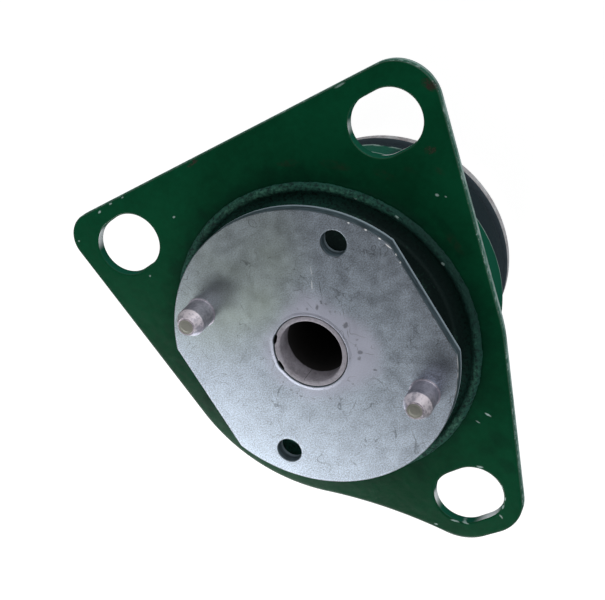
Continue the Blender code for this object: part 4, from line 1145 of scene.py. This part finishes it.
class MOUNT_OT_pins(bpy.types.Operator):
    """Make the two tapered locating pins"""
    bl_idname = "mount.pins"
    bl_label = "Locating pins"

    def execute(self, context):
        settings = context.scene.engine_mount
        sizes, paint = settings.plate, settings.paint
        material = zinc_turned(paint, "zinc_plated_pin", paint.pin_dark, paint.pin, sheen=0.8,
                               nose=PIN_TOP - sizes.pin_taper)
        for name, (low, high) in PIN_BOXES.items():
            radius = (high.x - low.x) / 2
            tenon, foot = radius - sizes.pin_shoulder, radius + sizes.pin_ring
            tip, seat, button = high.z, PLATE_TOP, sizes.pin_tip - sizes.pin_groove
            section = rounded(
                [(0.0, tip, 0.0), (button * 0.62, tip, 0.0002),
                 (button * 0.70, tip - 0.00005, 0.0002), (button, tip - 0.00003, 0.00012),
                 (button, tip - sizes.pin_groove, 0.0001),
                 (sizes.pin_tip, tip - sizes.pin_groove, 0.0001),
                 (sizes.pin_tip + 0.0001, tip - 0.0002, 0.0001),
                 (radius, tip - sizes.pin_taper, 0.0002), (radius, seat + 0.0003, 0.0002),
                 (foot, seat + 0.00016, 0.0001), (foot, seat - 0.0001, 0.0001),
                 (tenon, seat - 0.0001, 0.0001), (tenon, low.z, 0.0003), (0.0, low.z, 0.0)],
                closed=False)
            piece = body(name + "_turned",
                         [turned(section, steps=HOLE_STEPS, centre=plan_centre(low, high))])
            dress(piece, material, "core", "zinc_plated_steel", name)
        return {"FINISHED"}


class MOUNT_OT_rear_disc(bpy.types.Operator):
    """Make the rear disc"""
    bl_idname = "mount.rear_disc"
    bl_label = "Rear disc"

    def execute(self, context):
        settings = context.scene.engine_mount
        seat, cut = TUBE_RADIUS + settings.plate.seat_gap, settings.plate.disc_round
        section = rounded([(seat, DISC_TOP, 0.0003), (DISC_RADIUS, DISC_TOP, cut),
                           (DISC_RADIUS, 0.0, cut), (seat, 0.0, 0.0003)])
        piece = body("rear_disc_turned", [turned(section)], rings=True)
        paint = settings.paint
        material = zinc_turned(paint, "zinc_plated_disc", paint.disc_dark, paint.disc,
                               sheen=0.15)
        dress(piece, material, "core", "zinc_plated_steel", "rear_disc")
        return {"FINISHED"}


class MOUNT_OT_stage(bpy.types.Operator):
    """Make the floor, the lamps, the world and the camera"""
    bl_idname = "mount.stage"
    bl_label = "Studio"

    def execute(self, context):
        studio = context.scene.engine_mount.studio
        scene = context.scene
        mesh = bpy.data.meshes.new("studio_floor")
        corners = [(x * FLOOR_REACH, y * FLOOR_REACH, -FLOOR_DROP)
                   for x, y in ((-1, -1), (1, -1), (1, 1), (-1, 1))]
        mesh.from_pydata(corners, [], [(0, 1, 2, 3)])
        floor = bpy.data.objects.new("studio_floor", mesh)
        scene.collection.objects.link(floor)
        # Matt grey under the lamps, lifted to white for the camera and a little for gloss
        material, tree, shader, _ = new_material("pale_studio_floor")
        rays = add(tree, "ShaderNodeLightPath")
        dim = layered(tree, studio.floor, (out(rays, "Is Camera Ray"), studio.floor_seen))
        mirrored = all_of(tree, out(rays, "Is Glossy Ray"), GLOSS_LIFT)
        lift = add(tree, "ShaderNodeMath", {0: out(rays, "Is Camera Ray"), 1: FLOOR_LIFT,
                                            2: mirrored}, operation="MULTIPLY_ADD")
        shader.inputs["Roughness"].default_value = 0.9
        shader.inputs["Specular IOR Level"].default_value = 0.0
        shader.inputs["Emission Color"].default_value = (*WHITE, 1.0)
        plug(tree, shader, {"Base Color": dim, "Emission Strength": lift})
        mesh.materials.append(material)

        # White to the camera; to the mount, a grade from the level to a dark side
        world = bpy.data.worlds.new("studio_world")
        scene.world = world
        world.use_nodes = True
        tree = world.node_tree
        rays = add(tree, "ShaderNodeLightPath")
        place = add(tree, "ShaderNodeTexCoord")
        facing = add(tree, "ShaderNodeVectorMath", {0: out(place, "Generated"),
                                                    1: DARK_SIDE}, operation="DOT_PRODUCT")
        grade = add(tree, "ShaderNodeMapRange",
                    {"Value": out(facing, "Value"), "From Min": 0.42, "From Max": 0.90,
                     "To Min": WORLD_LEVEL, "To Max": WORLD_DARK}, **SMOOTH)
        level = add(tree, "ShaderNodeMix", {"Factor_Float": out(rays, "Is Camera Ray"),
                                            "A_Float": grade, "B_Float": 1.0})
        plug(tree, tree.nodes["Background"], {"Strength": level})
        tree.nodes["Background"].inputs["Color"].default_value = (*WHITE, 1.0)

        for name, azimuth, height, distance, size, power in SOFTBOXES:
            light = bpy.data.lights.new(name, "AREA")
            light.energy = power
            light.shape = "RECTANGLE"
            light.size, light.size_y = size
            lamp = bpy.data.objects.new(name, light)
            turn, rise = math.radians(azimuth), math.radians(height)
            lamp.location = (AXIS[0] + distance * math.cos(rise) * math.cos(turn),
                             AXIS[1] + distance * math.cos(rise) * math.sin(turn),
                             PLATE_TOP + distance * math.sin(rise))
            lamp.rotation_euler = (math.pi / 2 - rise, 0.0, turn + math.pi / 2)
            scene.collection.objects.link(lamp)

        camera = bpy.data.objects.new("camera", bpy.data.cameras.new("camera"))
        camera.location = studio.camera_place
        camera.rotation_euler = studio.camera_turn
        camera.data.sensor_width = 36.0
        camera.data.lens = studio.lens
        camera.data.clip_start = 0.01
        scene.collection.objects.link(camera)
        scene.camera = camera
        scene.view_settings.view_transform = "Standard"
        return {"FINISHED"}


OPERATORS = (MOUNT_OT_stage, MOUNT_OT_flange, MOUNT_OT_rubber, MOUNT_OT_front_plate,
             MOUNT_OT_tube, MOUNT_OT_pins, MOUNT_OT_rear_disc)


class MOUNT_PT_pieces(bpy.types.Panel):
    """Lists the pieces of the mount and its settings"""
    bl_label = "Engine Mount"
    bl_idname = "MOUNT_PT_pieces"
    bl_space_type = "VIEW_3D"
    bl_region_type = "UI"
    bl_category = "Engine Mount"

    def draw(self, context):
        for operator in OPERATORS:
            self.layout.operator(operator.bl_idname)
        settings = context.scene.engine_mount
        for group in (settings.flange, settings.plate, settings.rubber, settings.paint,
                      settings.studio):
            box = self.layout.box()
            for key in group.__annotations__:
                box.prop(group, key)


CLASSES = (FlangeSizes, PlateSizes, RubberSizes, PaintLooks, StudioLooks, MountSettings,
           *OPERATORS, MOUNT_PT_pieces)


def register():
    """Make the classes and the settings known to Blender."""
    for each in CLASSES:
        bpy.utils.register_class(each)
    bpy.types.Scene.engine_mount = PointerProperty(type=MountSettings)


def unregister():
    """Take them away again."""
    del bpy.types.Scene.engine_mount
    for each in reversed(CLASSES):
        bpy.utils.unregister_class(each)


def main():
    """Make every piece and the studio."""
    register()
    for operator in OPERATORS:
        group, name = operator.bl_idname.split(".")
        getattr(getattr(bpy.ops, group), name)()


if __name__ == "__main__":
    main()
